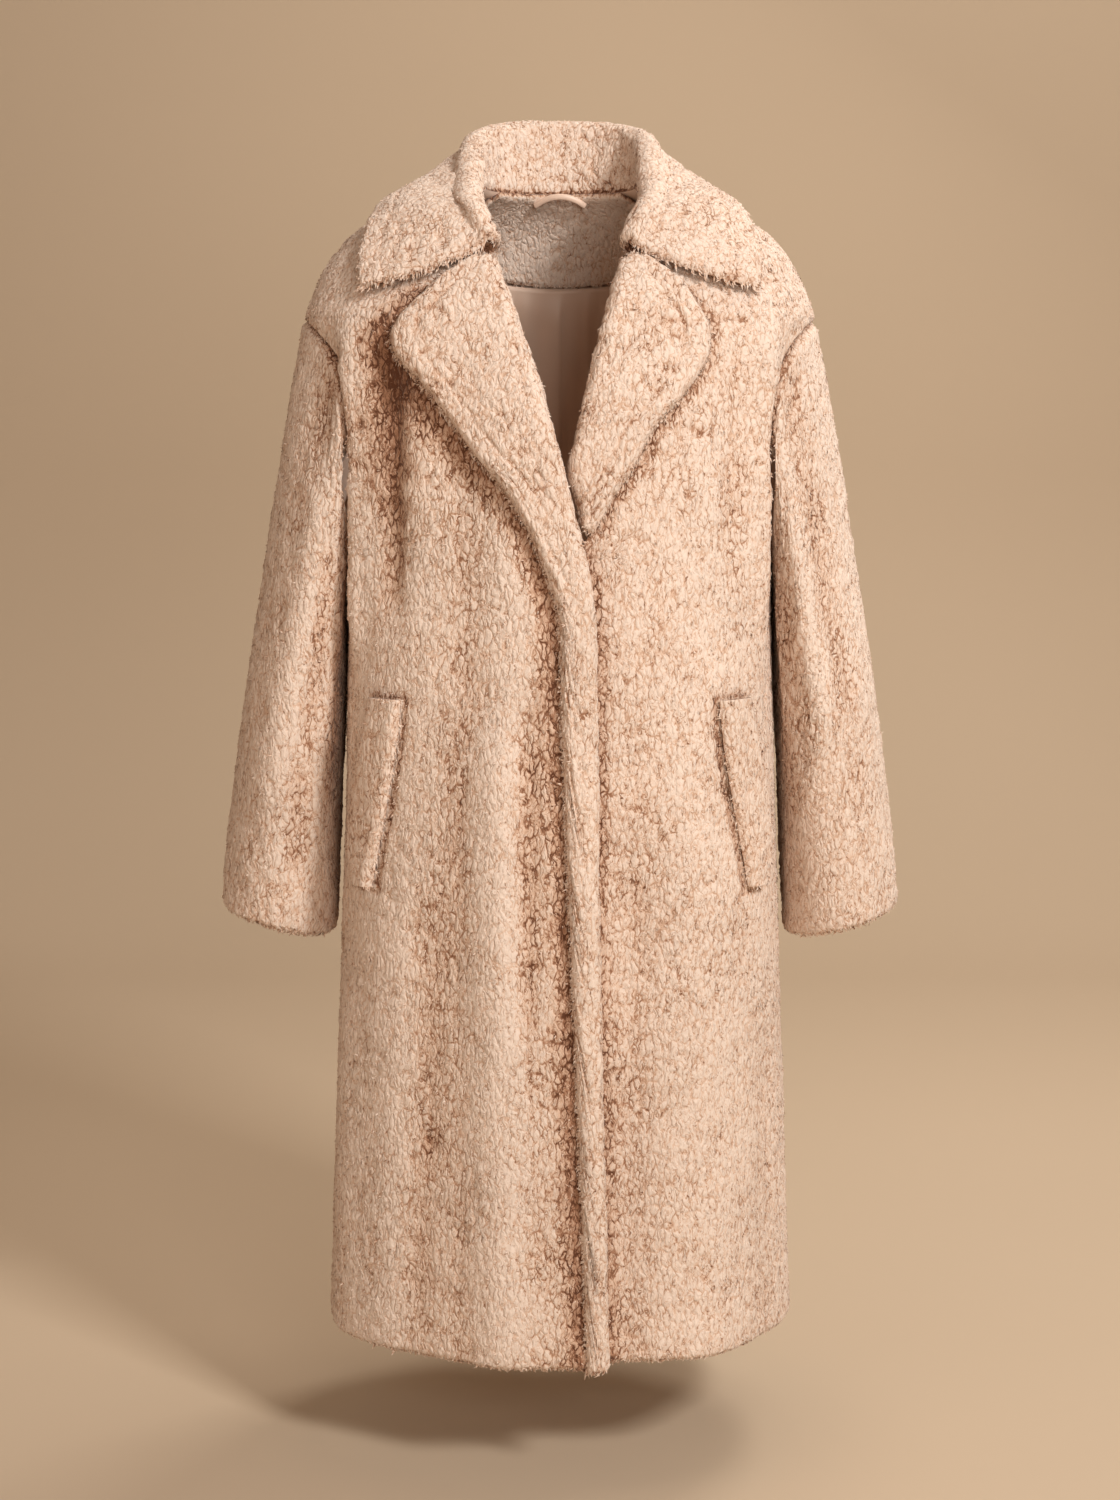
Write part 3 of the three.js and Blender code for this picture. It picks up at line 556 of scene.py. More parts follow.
class Graph:
    """A material's nodes: each call adds one, with the inputs that it gives as values or sockets."""

    def __init__(self, name, **values):
        self.material = bpy.data.materials.new(name)
        self.material.use_nodes = True
        self.tree = self.material.node_tree
        self.shader = self.tree.nodes["Principled BSDF"]
        for key, value in values.items():
            self.shader.inputs[key.replace("_", " ")].default_value = value
        self.place = self.add("TexCoord").outputs["Object"]

    def add(self, kind, inputs=None, **settings):
        node = self.tree.nodes.new("ShaderNode" + kind)
        for key, value in settings.items():
            setattr(node, key, value)
        for key, value in (inputs or {}).items():
            if isinstance(value, bpy.types.NodeSocket):
                self.tree.links.new(value, node.inputs[key])
            else:
                node.inputs[key].default_value = value
        return node

    def maths(self, operation, *values):
        return self.add("Math", dict(enumerate(values)), operation=operation).outputs[0]

    def vectors(self, operation, *values):
        return self.add("VectorMath", dict(enumerate(values)), operation=operation).outputs[0]

    def noise(self, where, scale, detail=2.0, output="Fac"):
        inputs = {"Vector": where, "Scale": scale, "Detail": detail}
        return self.add("TexNoise", inputs).outputs[output]

    def span(self, value, low, high, to_low=0.0, to_high=1.0, kind="SMOOTHSTEP"):
        inputs = {"Value": value, "From Min": low, "From Max": high, "To Min": to_low, "To Max": to_high}
        return self.add("MapRange", inputs, interpolation_type=kind).outputs["Result"]

    def ramp(self, value, stops):
        node = self.add("ValToRGB", {"Fac": value})
        elements = node.color_ramp.elements
        elements[0].position, elements[1].position = stops[0][0], stops[-1][0]
        for position, _ in stops[1:-1]:
            elements.new(position)
        for element, (_, colour) in zip(elements, stops):
            element.color = (*colour, 1)
        return node.outputs["Color"]

    def warped(self, scale, amount, where):
        """Coordinates that noise pushes about by at most half an amount."""
        push = self.vectors("SUBTRACT", self.noise(self.place, scale, 2.0, "Color"), (0.5, 0.5, 0.5))
        return self.vectors("ADD", where, self.vectors("MULTIPLY", push, (amount, amount, amount)))

    def edges(self, where, scale):
        inputs = {"Vector": where, "Scale": scale}
        return self.add("TexVoronoi", inputs, feature="DISTANCE_TO_EDGE").outputs["Distance"]

    def finish(self, colour, height, strength, distance):
        links = self.tree.links
        links.new(colour, self.shader.inputs["Base Color"])
        bump = self.add("Bump", {"Strength": strength, "Distance": distance, "Height": height})
        links.new(bump.outputs["Normal"], self.shader.inputs["Normal"])
        return self.material


def fur_material():
    """Curled pile. Broken cracks run round clumps about 5 by 13 mm and between coarser and finer lumps,
    and are deeper where the vertices' openness, the attribute pile, is low. Their dark is partly the
    pile's own colour and partly painted shade, and the openness paints shade into the whole colour."""
    g = Graph(
        "fur",
        Roughness=0.86,
        Sheen_Weight=0.3,
        Sheen_Roughness=0.5,
        Sheen_Tint=(1.0, 0.92, 0.85, 1.0),
        Specular_IOR_Level=0.12,
    )
    warped = g.warped(240, 0.0026, g.warped(60, 0.009, g.place))
    long_way = g.vectors("MULTIPLY", warped, (1, 1, 0.4))
    cells = g.edges(long_way, 190)
    fine = g.noise(g.vectors("MULTIPLY", warped, (1, 1, 0.36)), 300, 1.0)
    coarse = g.noise(g.vectors("MULTIPLY", warped, (1, 1, 0.3)), 150, 1.0)
    broken = g.noise(g.vectors("MULTIPLY", g.place, (1, 1, 0.5)), 170, 1.0)
    patches = g.noise(g.vectors("MULTIPLY", g.place, (1, 1, 0.6)), 30, 2.0)
    fibres = g.noise(g.vectors("MULTIPLY", warped, (1, 1, 0.3)), 700, 3.0)
    weak = g.span(g.maths("ABSOLUTE", g.maths("SUBTRACT", fine, 0.5)), 0.0, 0.045, 1.0, 0.0)
    weak = g.maths("MULTIPLY", weak, g.span(broken, 0.36, 0.6, 0.25, 1.0))
    strong = g.span(g.maths("ABSOLUTE", g.maths("SUBTRACT", coarse, 0.47)), 0.0, 0.022, 1.0, 0.0)
    strong = g.maths("MULTIPLY", strong, g.span(broken, 0.42, 0.6, 1.0, 0.0))
    joined = g.span(cells, 0.0, 0.17, 1.0, 0.0)
    joined = g.maths("MULTIPLY", joined, g.span(broken, 0.38, 0.62, 1.0, 0.3))
    strong = g.maths("MAXIMUM", strong, joined)
    strong = g.maths("MULTIPLY", strong, g.span(patches, 0.35, 0.65, 1.0, 0.75))
    depth = g.add("Attribute", attribute_name="pile").outputs["Fac"]
    # Painted shade: cracks are stronger where the pile attribute is low
    strong = g.maths("MULTIPLY", strong, g.span(depth, 0.5, 0.85, 1.12, 0.8))
    # The pile attribute's painted shade darkens the colour
    open_air = g.maths("MULTIPLY_ADD", depth, 0.85, 0.22)
    open_air = g.maths("MULTIPLY_ADD", weak, -0.32, open_air)
    open_air = g.maths("MULTIPLY_ADD", strong, -0.54, open_air)
    open_air = g.maths("ADD", open_air, g.maths("MULTIPLY_ADD", fibres, 0.45, -0.2))
    colour = g.ramp(
        open_air,
        [
            (0.1, (0.12, 0.045, 0.022)),
            (0.4, (0.38, 0.2, 0.12)),
            (0.65, (0.7, 0.5, 0.375)),
            (0.9, (0.81, 0.68, 0.585)),
        ],
    )
    tone = g.span(g.noise(g.place, 8, 3.0), 0, 1, 0.9, 1.08, "LINEAR")
    colour = g.add("VectorMath", {0: colour, "Scale": tone}, operation="SCALE").outputs[0]
    height = g.maths("MULTIPLY_ADD", fine, 1.6, g.span(cells, 0.0, 0.35))
    height = g.maths("MULTIPLY_ADD", strong, -0.6, height)
    height = g.maths("MULTIPLY_ADD", fibres, 0.9, height)
    return g.finish(colour, height, 0.55, 0.0012)


def satin_material():
    g = Graph("satin", Roughness=0.42, Sheen_Weight=0.15, Specular_IOR_Level=0.5, Anisotropic=0.4)
    long_way = g.vectors("MULTIPLY", g.place, (1, 1, 0.25))
    colour = g.ramp(g.noise(long_way, 22), [(0.3, (0.7, 0.52, 0.41)), (0.7, (0.8, 0.61, 0.49))])
    return g.finish(colour, g.noise(long_way, 1400), 0.12, 0.0003)


FUR = fur_material()
SATIN = satin_material()


def furred(name, outer, inner, seed, flow=0, seams=(0, 0, 0, 0), radii=(0, 0, 0, 0),
           grooves=0, lock_area=LOCK_AREA, lining=True, amount=1.0, free_edges=(0, 0, 0, 0), place=None,
           dark=0, fold_shade=FOLD_SHADE):
    """A cloth piece with pile. Four values go with its top, bottom, left and right edge: seams are how
    far the outer side sinks there, radii round them, and free_edges are how far their locks turn out.
    The pile lies along the axis flow, has this amount of relief, and place gives its coordinates.
    The argument dark is painted shade laid on the pile, and fold_shade paints shade into fold hollows."""
    outer, inner = round_edges(outer, inner, radii)
    v, u = spans(outer, 0), spans(outer, 1)
    distances = [v, v[-1:] - v, u, u[:, -1:] - u]
    normal = grid_normal(outer, inner)
    middle = u.shape[1] // 2
    if not place:
        place = (u - u[:, middle:middle + 1], v) if flow == 0 else (v, u)
    relief, shade = pile(*place, seed)
    sink = np.zeros(u.shape)
    for distance, drop in zip(distances, seams):
        sink += drop * (1 - smooth(distance / SEAM_REACH))
    free = np.clip(np.linalg.norm(outer - inner, axis=-1) / WELT_WALL, 0, 1)
    height = (relief * amount - PILE_SINK) * free - sink - grooves
    bent = hollow(outer, normal)
    # Painted shade: the pile darkens where it sinks at seams, in grooves, in the hollows of folds and by
    # the given dark
    folds = np.clip(bent - np.median(bent), -2.6, 5.0) if lining else 0
    shade = shade - 0.1 * sink - 0.1 * np.clip(grooves, 0, 4) - fold_shade * folds - dark
    shade = np.clip(shade, 0, 1)
    surface = outer + normal * height[..., None]
    obj = shell(name + "_cloth", surface, inner, shade, [FUR, SATIN] if lining else [FUR])
    down = np.gradient(outer, axis=flow)
    fringe = np.zeros(surface.shape)
    for i, amount_free in enumerate(free_edges):
        distance, axis, end = distances[i], i // 2, -(i % 2)
        inside = np.argmax(np.sort(np.median(distance, axis=1 - axis)) > FRINGE)
        edge, within = (np.take(outer, [n], axis=axis) for n in (end, -1 - inside if end else inside))
        near_edge = (1 - smooth(distance / FRINGE))[..., None]
        fringe += amount_free * unit(edge - within + 0 * outer) * near_edge
    locks = tufts(name + "_locks", surface, normal, down, shade, lock_area, fringe)
    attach(obj, "root")
    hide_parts(name)
    return obj


# Body panels


def armhole_turns(count):
    """Turns from the shoulder to the underarm that are evenly spaced along the armhole's edge."""
    turn = np.linspace(0, math.pi, 2000)
    z = SHOULDER_Z - (SHOULDER_Z - UNDERARM_Z) * (1 - np.cos(turn)) / 2
    across = np.radians(ARMHOLE_REACH) * np.sin(turn) * body_half(z)
    length = np.concatenate([[0], np.cumsum(np.hypot(np.diff(z), np.diff(across)))])
    return np.interp(np.linspace(0, length[-1], count + 1), length, turn)


def panel_rows():
    """Height and half opening of the armhole, in radians, for each row from the neck to the hem."""
    z = np.linspace(NECK_Z, SHOULDER_Z, 2000)
    length = np.concatenate([[0], np.cumsum(np.hypot(np.diff(z), np.diff(body_half(z))))])
    shoulder = np.interp(np.linspace(0, length[-1], 48), length, z)[:-1]
    turns = armhole_turns(59)
    armhole = SHOULDER_Z - (SHOULDER_Z - UNDERARM_Z) * (1 - np.cos(turns)) / 2
    opened = np.radians(ARMHOLE_REACH) * np.sin(turns)
    lower = np.linspace(UNDERARM_Z, HEM_Z + 7, 151)[1:]
    hem = HEM_Z + np.array([4.2, 2.2, 0.9, 0.2, 0])
    heights = np.concatenate([shoulder, armhole, lower, hem])
    openings = np.concatenate([0 * shoulder, opened, 0 * lower, 0 * hem])
    return heights, openings


ROWS, OPENED = panel_rows()
ROWS, OPENED = ROWS[:, None], OPENED[:, None]


def panel_angles(start, end, count, reach):
    """Angles of a panel's columns: six tenths of them spread up to the reach, the rest beyond it."""
    split = np.maximum(reach, start + 0.6 * (end - start))
    half = count * 6 // 10
    t = np.arange(count + 1)
    inner = start + (split - start) * t / half
    outer = split + (end - split) * (t - half) / (count - half)
    return np.where(t <= half, inner, outer)


def back_panel():
    trim = SEAM / 2 / body_half(ROWS)
    end = math.pi / 2 - OPENED - trim
    half = panel_angles(0 * end, end, 102, math.radians(45))
    turned = np.concatenate([half[:, :0:-1], half], axis=1)
    side = np.concatenate([np.ones(102), -np.ones(103)])[None, :]
    make = lambda depth: lifted(side, math.pi - turned, ROWS, -depth)
    return make(0), make(WALL), (side * turned * AROUND, slope_length(ROWS + 0 * turned))


def lapel_columns(rows):
    return [curve(rows, i) for i in range(1, 4)]


lapel_right, lapel_left = lapel_columns(LAPEL_RIGHT), lapel_columns(LAPEL_LEFT)


def nose_of(lapel, z):
    roll, edge, _ = lapel
    return np.minimum(NOSE, (edge(z) - roll(z)) * NOSE_SHARE)


def front_edge(side, z):
    lapel = lapel_right if side < 0 else lapel_left
    in_fold = lapel[0](z) + nose_of(lapel, z) + TUCK
    if side > 0:
        in_fold = lerp(in_fold, -OVERLAP_EDGE, smooth((HIDDEN_Z - z) / HIDDEN_FADE))
    return np.where(z >= GORGE_Z, neckline(z), in_fold)


def front_panel(side):
    """Both sides of a front, the place of its pile, its grooves and its painted shade."""
    start = angle_at(side, front_edge(side, ROWS), ROWS)
    end = math.pi / 2 - OPENED - SEAM / 2 / body_half(ROWS)
    angle = panel_angles(start, end, 114, math.radians(45))
    make = lambda depth: lifted(side, angle, ROWS, -depth)
    face = make(0)
    x, z = side * face[..., 0], ROWS
    lapel = lapel_right if side < 0 else lapel_left
    # Painted shadow that the lapels and the band cast on the front beside their edges, wider below the
    # right lapel's point
    covered = (z < -100) * (1 if side < 0 else smooth((z + 330) / 20))
    from_lapel = np.abs(x - lapel[1](z) - 3)
    reach = 28 + 26 * np.exp(-(((z + 210) / 80) ** 2)) if side < 0 else 14
    dark = covered * LAPEL_SHADE[side] * (1 - smooth(from_lapel / reach))
    # Painted shadow on the right chest below the lapel's point
    if side < 0:
        across = (x - CHEST_X - 0.08 * (z + 230)) / CHEST_WIDTH
        dark = dark + CHEST_SHADE * np.exp(-(across**2 + ((z - CHEST_Z) / CHEST_HEIGHT) ** 2))
    # The groove round the pocket welt is sunk into the cloth, and WELT_SHADE paints shade into it
    in_height = smooth((WELT[0][0] + 6 - z) / 3) * smooth((z - WELT[-1][0] + 6) / 3)
    beside = np.exp(-(((x - welt_near(z) + 2.5) / 2.6) ** 2)) * in_height
    across = smooth((x - welt_near(z) + 4) / 3) * smooth((welt_far(z) + 4 - x) / 3)
    ends = np.exp(-(((z - WELT[0][0] - 2.5) / 2.4) ** 2))
    ends = ends + np.exp(-(((z - WELT[-1][0] + 2.5) / 2.4) ** 2))
    groove = np.maximum(beside, ends * across)
    # Painted shade on the left front beside the right front's band
    if side > 0:
        band = lapel_right[0](z)
        under = (z < -320) * np.exp(-(((x + band) / BAND_SHADE_WIDTH) ** 2))
        dark = dark + BAND_SHADE * under
    place = (side * angle * AROUND, slope_length(z + 0 * x))
    return face, make(WALL), place, WELT_GROOVE * groove, dark + WELT_SHADE * groove


def sleeve_point(side, turn, t):
    z = SHOULDER_Z - (SHOULDER_Z - UNDERARM_Z) * (1 - np.cos(turn)) / 2
    start = body_point(side, math.pi / 2 - np.radians(ARMHOLE_REACH) * np.sin(turn), z)
    outward = np.cos(turn)
    end = np.stack(
        [
            side * (CUFF_X + CUFF_HALF_WIDTH * outward),
            CUFF_Y - CUFF_HALF_DEPTH * np.sin(turn),
            CUFF_Z + CUFF_TILT * outward,
        ],
        -1,
    )
    bulge = SLEEVE_BULGE * np.sqrt(np.maximum(4 * t * (1 - t), 0)) * np.maximum(outward, 0)
    for fold_side, at, width, height, top, bottom in SLEEVE_FOLDS:
        across = (np.degrees(turn) - at) / width
        fade = smooth((t - top) / SLEEVE_FADE) * smooth((bottom - t) / SLEEVE_FADE)
        bulge = bulge + (fold_side == side) * height * fade * np.exp(-across * across)
    point = lerp(start, end, t[..., None])
    point[..., 0] += side * bulge * np.abs(outward)
    point[..., 1] -= bulge * np.sin(turn)
    return point


def sleeve(side):
    """Both sides of a sleeve, in rows from the armhole to the cuff that run round from the underarm
    seam, and the painted shade down its side next to the body."""
    around = armhole_turns(66)
    half = math.pi - around[::-1]
    turn = np.concatenate([-math.pi + half, half[1:]])[None, :]
    close = 1 - np.array([4.2, 2.2, 0.9, 0]) / 560
    down_part = np.concatenate([np.linspace(0, 1 - 7 / 560, 120), close])
    t = down_part[:, None]
    turn, t = np.broadcast_arrays(turn, t)
    z = SHOULDER_Z - (SHOULDER_Z - UNDERARM_Z) * (1 - np.cos(turn)) / 2
    surface = sleeve_point(side, turn, t)
    down = unit(np.gradient(surface, axis=0))
    inward = unit(np.cross(np.gradient(surface, axis=1), down)) * -side
    out = body_normal(side, math.pi / 2 - np.radians(ARMHOLE_REACH) * np.sin(turn), z)
    near = smooth(1 - t / 0.05)[..., None]
    along = smooth((-np.sum(inward * out, -1) - 0.1) / 0.7)[..., None] * near
    inward = unit(inward * (1 - along) - out * along)
    surface = surface + down * 3 * SEAM * near
    surface[..., 0] += side * 4 * SEAM * near[..., 0]
    # Painted shade down the sleeve's side next to the body
    across = (np.degrees(turn) - SLEEVE_SHADE_TURN) / SLEEVE_SHADE_WIDTH
    dark = SLEEVE_SHADE[side] * np.exp(-(across**2)) * smooth(t / 0.1) * smooth((0.85 - t) / 0.35)
    return surface, surface + inward * WALL, dark


def lapel(side, columns, rows):
    """Both sides of a lapel, from its edge over the front and round the rolled fold, and its grooves."""
    roll, edge, height = (c(rows)[:, None] for c in columns)
    z = rows[:, None]
    nose = nose_of(columns, z)
    width = edge - roll - nose
    hem = roll + nose + TUCK - FOLD_GAP
    close = np.array([0, 0.5, 1.5, 3.0, 5.0, 7.5])[None, :]
    spread = np.linspace(0, 1, 44)[None, 1:]
    distance = np.concatenate([close + 0 * width, 7.5 + (width - 7.5) * spread], axis=1)
    even = width * np.linspace(0, 1, distance.shape[1])[None, :]
    distance = lerp(distance, even, smooth((60 - width) / 30))
    part = 1 - np.clip(distance / 9, 0, 1)
    profile = height * np.maximum(np.sqrt(1 - part * part), LEAST_EDGE)
    face_x = edge - distance
    under_x = edge - distance * (edge - hem) / width
    wide = smooth((edge - roll - 40) / 20)
    ridge = 0.5 * np.exp(-(((distance - 14) / 8) ** 2)) * wide
    groove = 1.3 * np.exp(-(((distance - EDGE_GROOVE) / EDGE_GROOVE_WIDTH) ** 2)) * wide
    face = lifted(side, angle_at(side, face_x, z), z, LIFT + profile + ridge)
    under = lifted(side, angle_at(side, under_x, z), z, LIFT + 0 * under_x)
    turn = np.linspace(0, math.pi, 16)[None, 1:]
    middle, reach = (LIFT + height - WALL) / 2, (LIFT + height + WALL) / 2
    nose_x = roll + nose * (1 - np.sin(turn))
    fold = lifted(side, angle_at(side, nose_x, z), z, middle + reach * np.cos(turn))
    inside = lifted(side, angle_at(side, hem + 0 * turn, z), z, lerp(LIFT, -WALL, turn / math.pi))
    grooves = np.concatenate([groove, 0 * nose_x], axis=1)
    return np.concatenate([face, fold], axis=1), np.concatenate([under, inside], axis=1), grooves


# Collar

collar_x, collar_y, collar_z, collar_angle, collar_edge, collar_crown = (
    curve(COLLAR, i) for i in range(1, 7)
)


def neck_place(u):
    z = np.where(u <= 0.5, NECK_Z, lerp(NECK_Z, GORGE_Z, (u - 0.5) / 0.5))
    angle = np.where(u <= 0.5, math.pi - math.pi * u, angle_at(1, neckline(z), z))
    return angle, z


def collar_top(u):
    return np.stack([collar_x(u), collar_y(u), collar_z(u)], -1)


def keep_off(points, height):
    """Moves points out until they stand at least a height above the body."""
    side = np.where(points[..., 0] < 0, -1.0, 1.0)
    for _ in range(3):
        angle = np.arctan2(np.abs(points[..., 0]), -points[..., 1])
        out = body_normal(side, angle, points[..., 2])
        surface = body_point(side, angle, points[..., 2])
        above = np.sum((points - surface) * out, -1)
        points = points + out * np.maximum(height - above, 0)[..., None]
    return points


def collar_grid():
    """Both sides of the collar: the stand, the turned top and the fall, from the wearer's right to left."""
    step = 0.01
    u = np.linspace(0, 1, 106)
    angle, z = neck_place(u)
    seam, out = body_point(1, angle, z), body_normal(1, angle, z)
    before, after = neck_place(np.maximum(u - step, 0)), neck_place(np.minimum(u + step, 1))
    way = body_point(1, *after) - body_point(1, *before)
    away = unit(np.cross(way, out))
    away *= np.where(away[:, 2:] < 0, -1, 1)
    foot = seam + away * NECK_GAP
    heel = foot - out * WALL
    top = collar_top(u)
    axis = unit(collar_top(np.minimum(u + step, 1)) - collar_top(np.maximum(u - step, 0)))
    flat = smooth((u - COLLAR_FLAT) / (1 - COLLAR_FLAT))[:, None]
    level = unit(np.cross(axis, [0, 0, -1]))
    side = unit(lerp(level, out, flat))
    up = unit(np.cross(axis, side))
    stand = [lerp(heel, top, t) for t in np.linspace(0, 1, 18)[:-1]]
    centre = top + side * COLLAR_ROLL
    roll = [
        centre - side * COLLAR_ROLL * math.cos(turn) + up * COLLAR_ROLL * math.sin(turn)
        for turn in np.linspace(0, math.pi, 17)
    ]
    start = roll[-1]
    rest, edge = np.radians(collar_angle(u)), collar_edge(u)
    lift = COLLAR_WALL + LIFT
    end = lifted(1, rest, edge, lift)
    bulge = unit(body_normal(1, rest, edge) + up) * 2 * collar_crown(u)[:, None]
    knee = lerp(start, end, 0.5) + bulge
    fall = []
    for t in np.concatenate([np.linspace(0, 0.93, 36)[1:], [0.955, 0.975, 0.99, 1]]):
        free = lerp(lerp(start, knee, t), lerp(knee, end, t), t)
        lying = lifted(1, lerp(angle, rest, t), lerp(z, edge, t**FALL_DROP), lift)
        fall.append(lerp(free, lying, flat))
    outside = keep_off(np.stack(roll[13:] + fall, 1), lift)
    face = np.concatenate([np.stack(stand + roll[:13], 1), outside], 1)
    flip = np.array([-1, 1, 1])
    face = np.concatenate([face[:0:-1] * flip, face])
    foot = np.concatenate([foot[:0:-1] * flip, foot])
    along, across = np.gradient(face, axis=0), np.gradient(face, axis=1)
    under = face + unit(np.cross(across, along)) * COLLAR_WALL
    under = keep_off(under, COLLAR_CLEAR)
    under[:, 0] = foot
    return face, under


def welt_grid(side):
    rows = np.concatenate([[0, 0.6, 2, 4], np.linspace(7, 167, 47), [170, 172, 173.4, 174]])
    z = (WELT[0][0] - rows)[:, None]
    part = [0, 0.02, 0.06, 0.13, 0.2, 0.28, 0.36, 0.44, 0.52, 0.6, 0.68, 0.76, 0.84, 0.91, 0.96, 1]
    part = np.array(part)
    x = lerp(welt_near(z), welt_far(z), part[None, :])
    edge = np.minimum(part, 1 - part)[None, :] * (welt_far(z) - welt_near(z))
    fill = 1 - np.clip(edge / 6, 0, 1)
    profile = WELT_WALL * np.maximum(np.sqrt(1 - fill * fill), LEAST_EDGE)
    angle = angle_at(side, x, z)
    return lifted(side, angle, z, LIFT + profile), lifted(side, angle, z, LIFT + 0 * profile)


def inside_back(t, span, z, depth):
    angle = np.radians(180 + lerp(-span, span, t))
    side = np.where(angle > math.pi, -1.0, 1.0)
    return lifted(side, np.where(angle > math.pi, 2 * math.pi - angle, angle), z, -depth)


def facing_end(t):
    return lerp(FACING_SIDE, FACING_MIDDLE, np.cos((t - 0.5) * math.pi) ** FACING_CURVE)


def facing_grid():
    t = np.linspace(0, 1, 91)[None, :]
    z = lerp(FACING_TOP, facing_end(t), np.linspace(0, 1, 34)[:, None])
    near = WALL + LIFT
    return inside_back(t, FACING_SPAN, z, near + FACING_WALL), inside_back(t, FACING_SPAN, z, near)


def lining_grid():
    t = np.linspace(0, 1, 121)[None, :]
    down = np.linspace(0, 1, 73)[:, None]
    z = lerp(facing_end(t) - 4 * SEAM, LINING_BOTTOM, down)
    reach = np.radians(2 * LINING_SPAN) * body_back(z)
    off_middle = (t - 0.5) * reach / PLEAT_WIDTH
    off_middle = np.where(off_middle > 0, off_middle * 0.13, off_middle * 1.2)
    pleat = PLEAT_HEIGHT * np.exp(-off_middle * off_middle) * smooth(down / 0.1)
    from_middle = (t - 0.5) * reach
    soft = 3.6 * np.exp(-(((from_middle + 26 + 8 * down) / 7) ** 2)) * smooth(down / 0.05)
    soft += 2.6 * np.exp(-(((from_middle + 44 + 4 * down) / 5) ** 2)) * smooth(down / 0.03)
    soft += 2.6 * np.exp(-(((from_middle - 34 - 12 * down) / 8) ** 2)) * smooth(down / 0.06)
    soft += 0.7 * noise(from_middle / 30, z / 80, 91) * smooth(down / 0.08)
    depth = WALL + 2 * LIFT + pleat + soft
    return inside_back(t, LINING_SPAN, z, depth + LINING_WALL), inside_back(t, LINING_SPAN, z, depth)


# Pieces

outer, inner, place = back_panel()
furred("back", outer, inner, seed=100, seams=(1, 0, 2.5, 2.5),
       radii=(0, 6, 0, 0), lock_area=BACK_LOCK_AREA, free_edges=(0, 1, 0, 0), place=place)
for side, name, seed in ((-1, "right", 200), (1, "left", 300)):
    outer, inner, place, grooves, dark = front_panel(side)
    furred(f"front_{name}", outer, inner, seed=seed, seams=(1, 0, 0, 2.5),
           radii=(0, 6, 0, 0), free_edges=(0, 1, 0, 0), place=place, grooves=grooves, dark=dark,
           fold_shade=FOLD_SHADE if side < 0 else LEFT_FRONT_FOLD_SHADE)
    outer, inner, dark = sleeve(side)
    furred(f"sleeve_{name}", outer, inner, seed=seed + 40,
           seams=(3, 0, 1.5, 1.5), radii=(0, 6, 0, 0), free_edges=(0, 1, 0, 0), dark=dark)
    outer, inner = welt_grid(side)
    furred(f"pocket_welt_{name}", outer, inner, seed=seed + 80, lining=False,
           amount=0.7, free_edges=(0.3, 0.3, 0.3, 0.3))

upper = np.linspace(-77, -300, 91)
lower = np.linspace(-300, HEM_Z + 7, 198)[1:]
right_rows = np.concatenate([upper, lower, HEM_Z + np.array([4.2, 2.2, 0.9, 0])])
left_rows = np.linspace(-77, -316, 97)
for side, name, columns, rows, seed, flat, area in (
    (-1, "right", lapel_right, right_rows, 400, (0.17, 1.05), 0.078),
    (1, "left", lapel_left, left_rows, 440, (0.16, 0.26), 0.028),
):
    outer, inner, grooves = lapel(side, columns, rows)
    furred(f"lapel_{name}", outer, inner, seed=seed, radii=(5, 5, 0, 0),
           grooves=grooves, lining=False, free_edges=(1, 1, 1, 0))

outer, inner = collar_grid()
length = spans(outer, 1)
from_edge = length[:, -1:] - length
grooves = 1.4 * np.exp(-(((from_edge - EDGE_GROOVE) / EDGE_GROOVE_WIDTH) ** 2))
furred("collar", outer, inner, seed=500, flow=1, seams=(0, 0, 2.0, 0),
       radii=(6, 6, 0, 6), grooves=grooves, lining=False, free_edges=(1, 1, 0, 1))
# The neck facing is made paler by painted light, FACING_SHADE being below zero
outer, inner = facing_grid()
furred("neck_facing", outer, inner, seed=600, seams=(1, 1, 0, 0),
       radii=(0, 4, 0, 0), lining=False, amount=0.7, free_edges=(0, 0.6, 0, 0), dark=FACING_SHADE)

outer, inner = lining_grid()
lining = shell("lining_back_cloth", outer, inner, 0 * outer[..., 0] + 0.5, [SATIN])
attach(lining, "root")
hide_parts("lining_back")


def hanger_loop():
    depth = WALL + LIFT + FACING_WALL + LOOP_GAP + LOOP_RADIUS
    root = inside_back(np.array(0.5 - LOOP_SPREAD / (2 * FACING_SPAN)), FACING_SPAN, LOOP_Z, depth)
    rows, cols = 60, 16
    t = np.linspace(1, -1, rows)
    arch = 1 - t * t
    line = np.stack([root[0] * t, root[1] - LOOP_OUT * arch, root[2] + LOOP_RISE * arch], -1)
    way = unit(np.gradient(line, axis=0))
    out = unit(np.cross(way, [0, 0, 1.0]))
    up = unit(np.cross(out, way))
    turn = np.linspace(0, 2 * math.pi, cols, endpoint=False)[None, :, None]
    section = out[:, None] * np.cos(turn) * 0.8 + up[:, None] * np.sin(turn) * 1.35
    ring = line[:, None] + LOOP_RADIUS * section
    ids = np.arange(rows * cols).reshape(rows, cols)
    nxt = np.roll(ids, -1, axis=1)
    quads = np.stack([ids[:-1], nxt[:-1], nxt[1:], ids[1:]], -1).reshape(-1, 4)
    caps = np.stack([ids[0][::-1], ids[-1]])
    obj = make_mesh("hanger_loop_cloth", ring.reshape(-1, 3), [quads, caps])
    obj.data.materials.append(SATIN)
    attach(obj, "root")
    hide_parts("hanger_loop")
    return obj


hanger_loop()

# Stage, light and camera


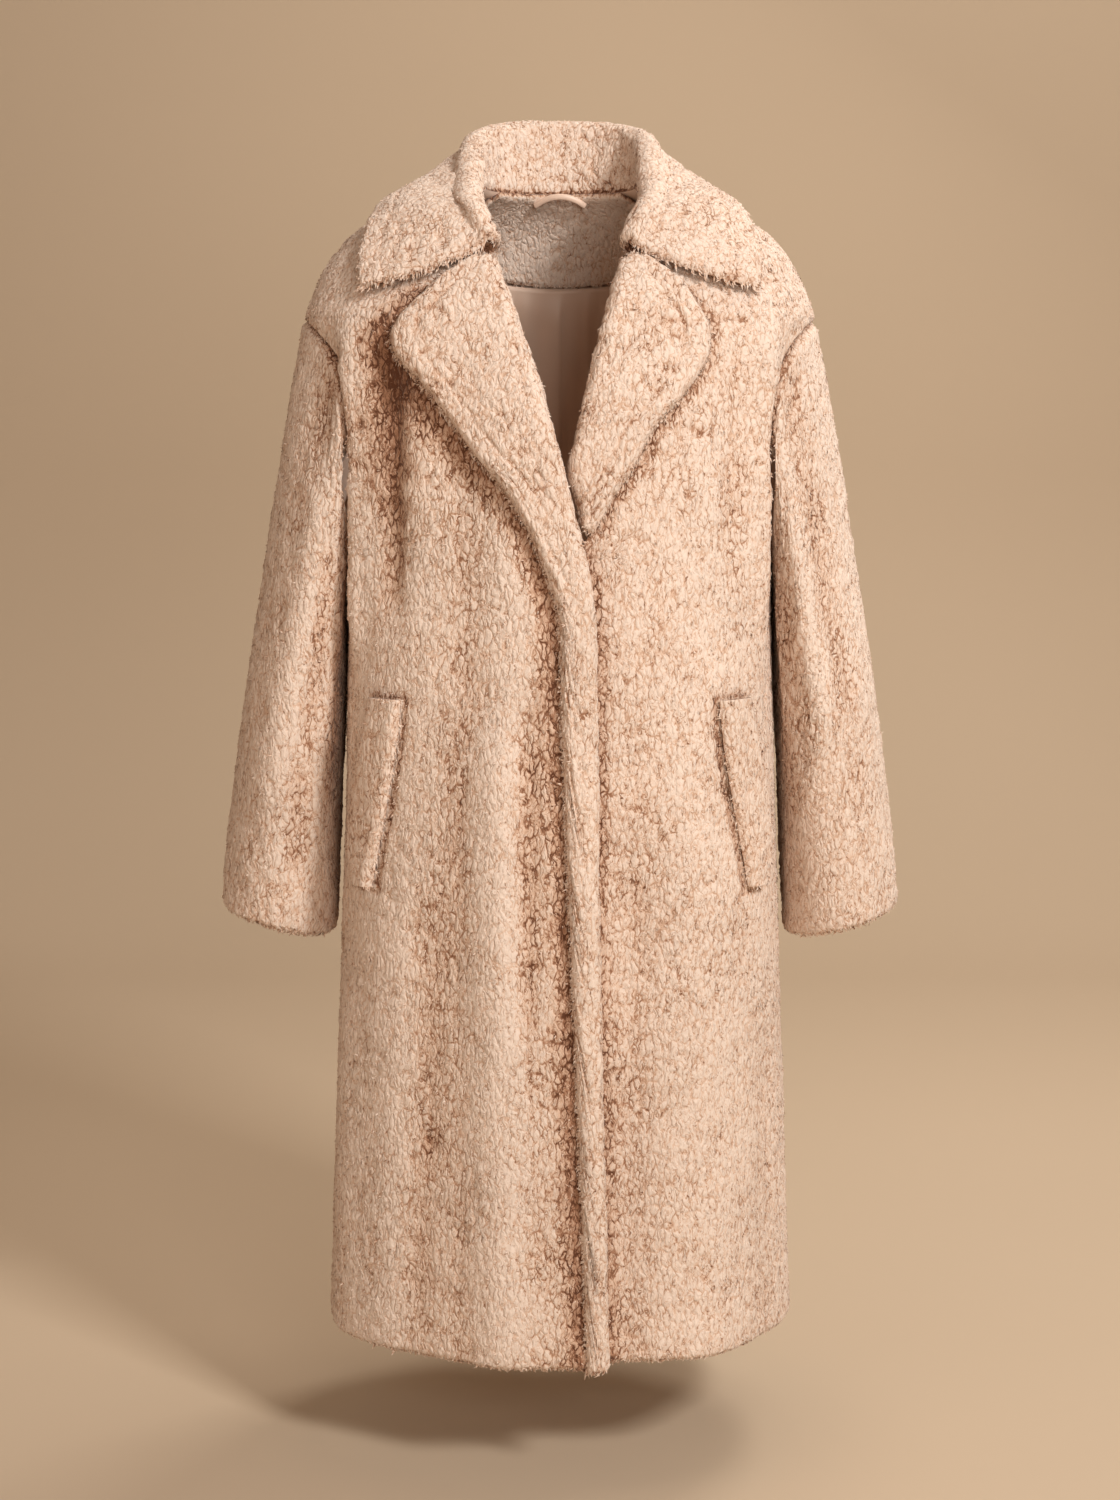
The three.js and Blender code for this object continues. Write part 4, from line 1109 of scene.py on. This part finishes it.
def stage():
    """A floor that curves up into a wall behind the coat."""
    floor, far, bend, top = -1.19, 1.9, 0.9, 3.2
    turn = np.linspace(0, math.pi / 2, 13)
    y = np.concatenate([[-5.0], far + bend * np.sin(turn), [far + bend]])
    z = np.concatenate([[floor], floor + bend * (1 - np.cos(turn)), [top]])
    points = np.array([(x, a, b) for a, b in zip(y, z) for x in (-6.0, 6.0)]) / MM
    ids = np.arange(len(y) - 1)[:, None] * 2
    obj = make_mesh("backdrop", points, [ids + [0, 1, 3, 2]])
    g = Graph("backdrop", Roughness=0.95, Specular_IOR_Level=0.1)
    colour = g.ramp(g.noise(g.place, 0.6), [(0.3, (0.52, 0.42, 0.31)), (0.7, (0.55, 0.445, 0.33))])
    obj.data.materials.append(g.finish(colour, g.noise(g.place, 300), 0.05, 0.0005))


stage()


def light(name, place, target, size, power, colour):
    data = bpy.data.lights.new(name, "AREA")
    data.energy, data.size, data.color = power, size, colour
    obj = bpy.data.objects.new(name, data)
    obj.location = place
    obj.rotation_euler = (Vector(target) - Vector(place)).to_track_quat("-Z", "Y").to_euler()
    bpy.context.collection.objects.link(obj)


bpy.context.scene.view_settings.view_transform = "Standard"

light("key", (2.0, -2.45, 1.65), (0, 0, -0.5), 0.7, 103, (1.0, 0.96, 0.92))
light("front", (0.6, -2.7, 0.1), (0, 0, -0.1), 0.8, 18, (1.0, 0.93, 0.86))
light("fill", (-2.4, -2.6, 0.3), (0, 0, -0.5), 2.4, 20, (1.0, 0.79, 0.63))
light("rim", (1.2, 1.5, 1.4), (0, 0, -0.3), 0.9, 28, (1.0, 0.93, 0.85))
light("wall", (0.9, 0.6, 2.2), (0.6, 2.6, 0.0), 1.6, 30, (1.0, 0.92, 0.82))

world = bpy.data.worlds.new("studio")
bpy.context.scene.world = world
world.use_nodes = True
world.node_tree.nodes["Background"].inputs["Color"].default_value = (1.0, 0.71, 0.52, 1)
world.node_tree.nodes["Background"].inputs["Strength"].default_value = 0.24

camera = bpy.data.cameras.new("camera")
camera.sensor_fit = "VERTICAL"
camera.sensor_height = 36
camera.lens = 55.58
view = bpy.data.objects.new("camera", camera)
view.location = (0, -2.2, -0.245)
view.rotation_euler = (math.radians(90 - 7.38), 0, 0)
bpy.context.collection.objects.link(view)
bpy.context.scene.camera = view
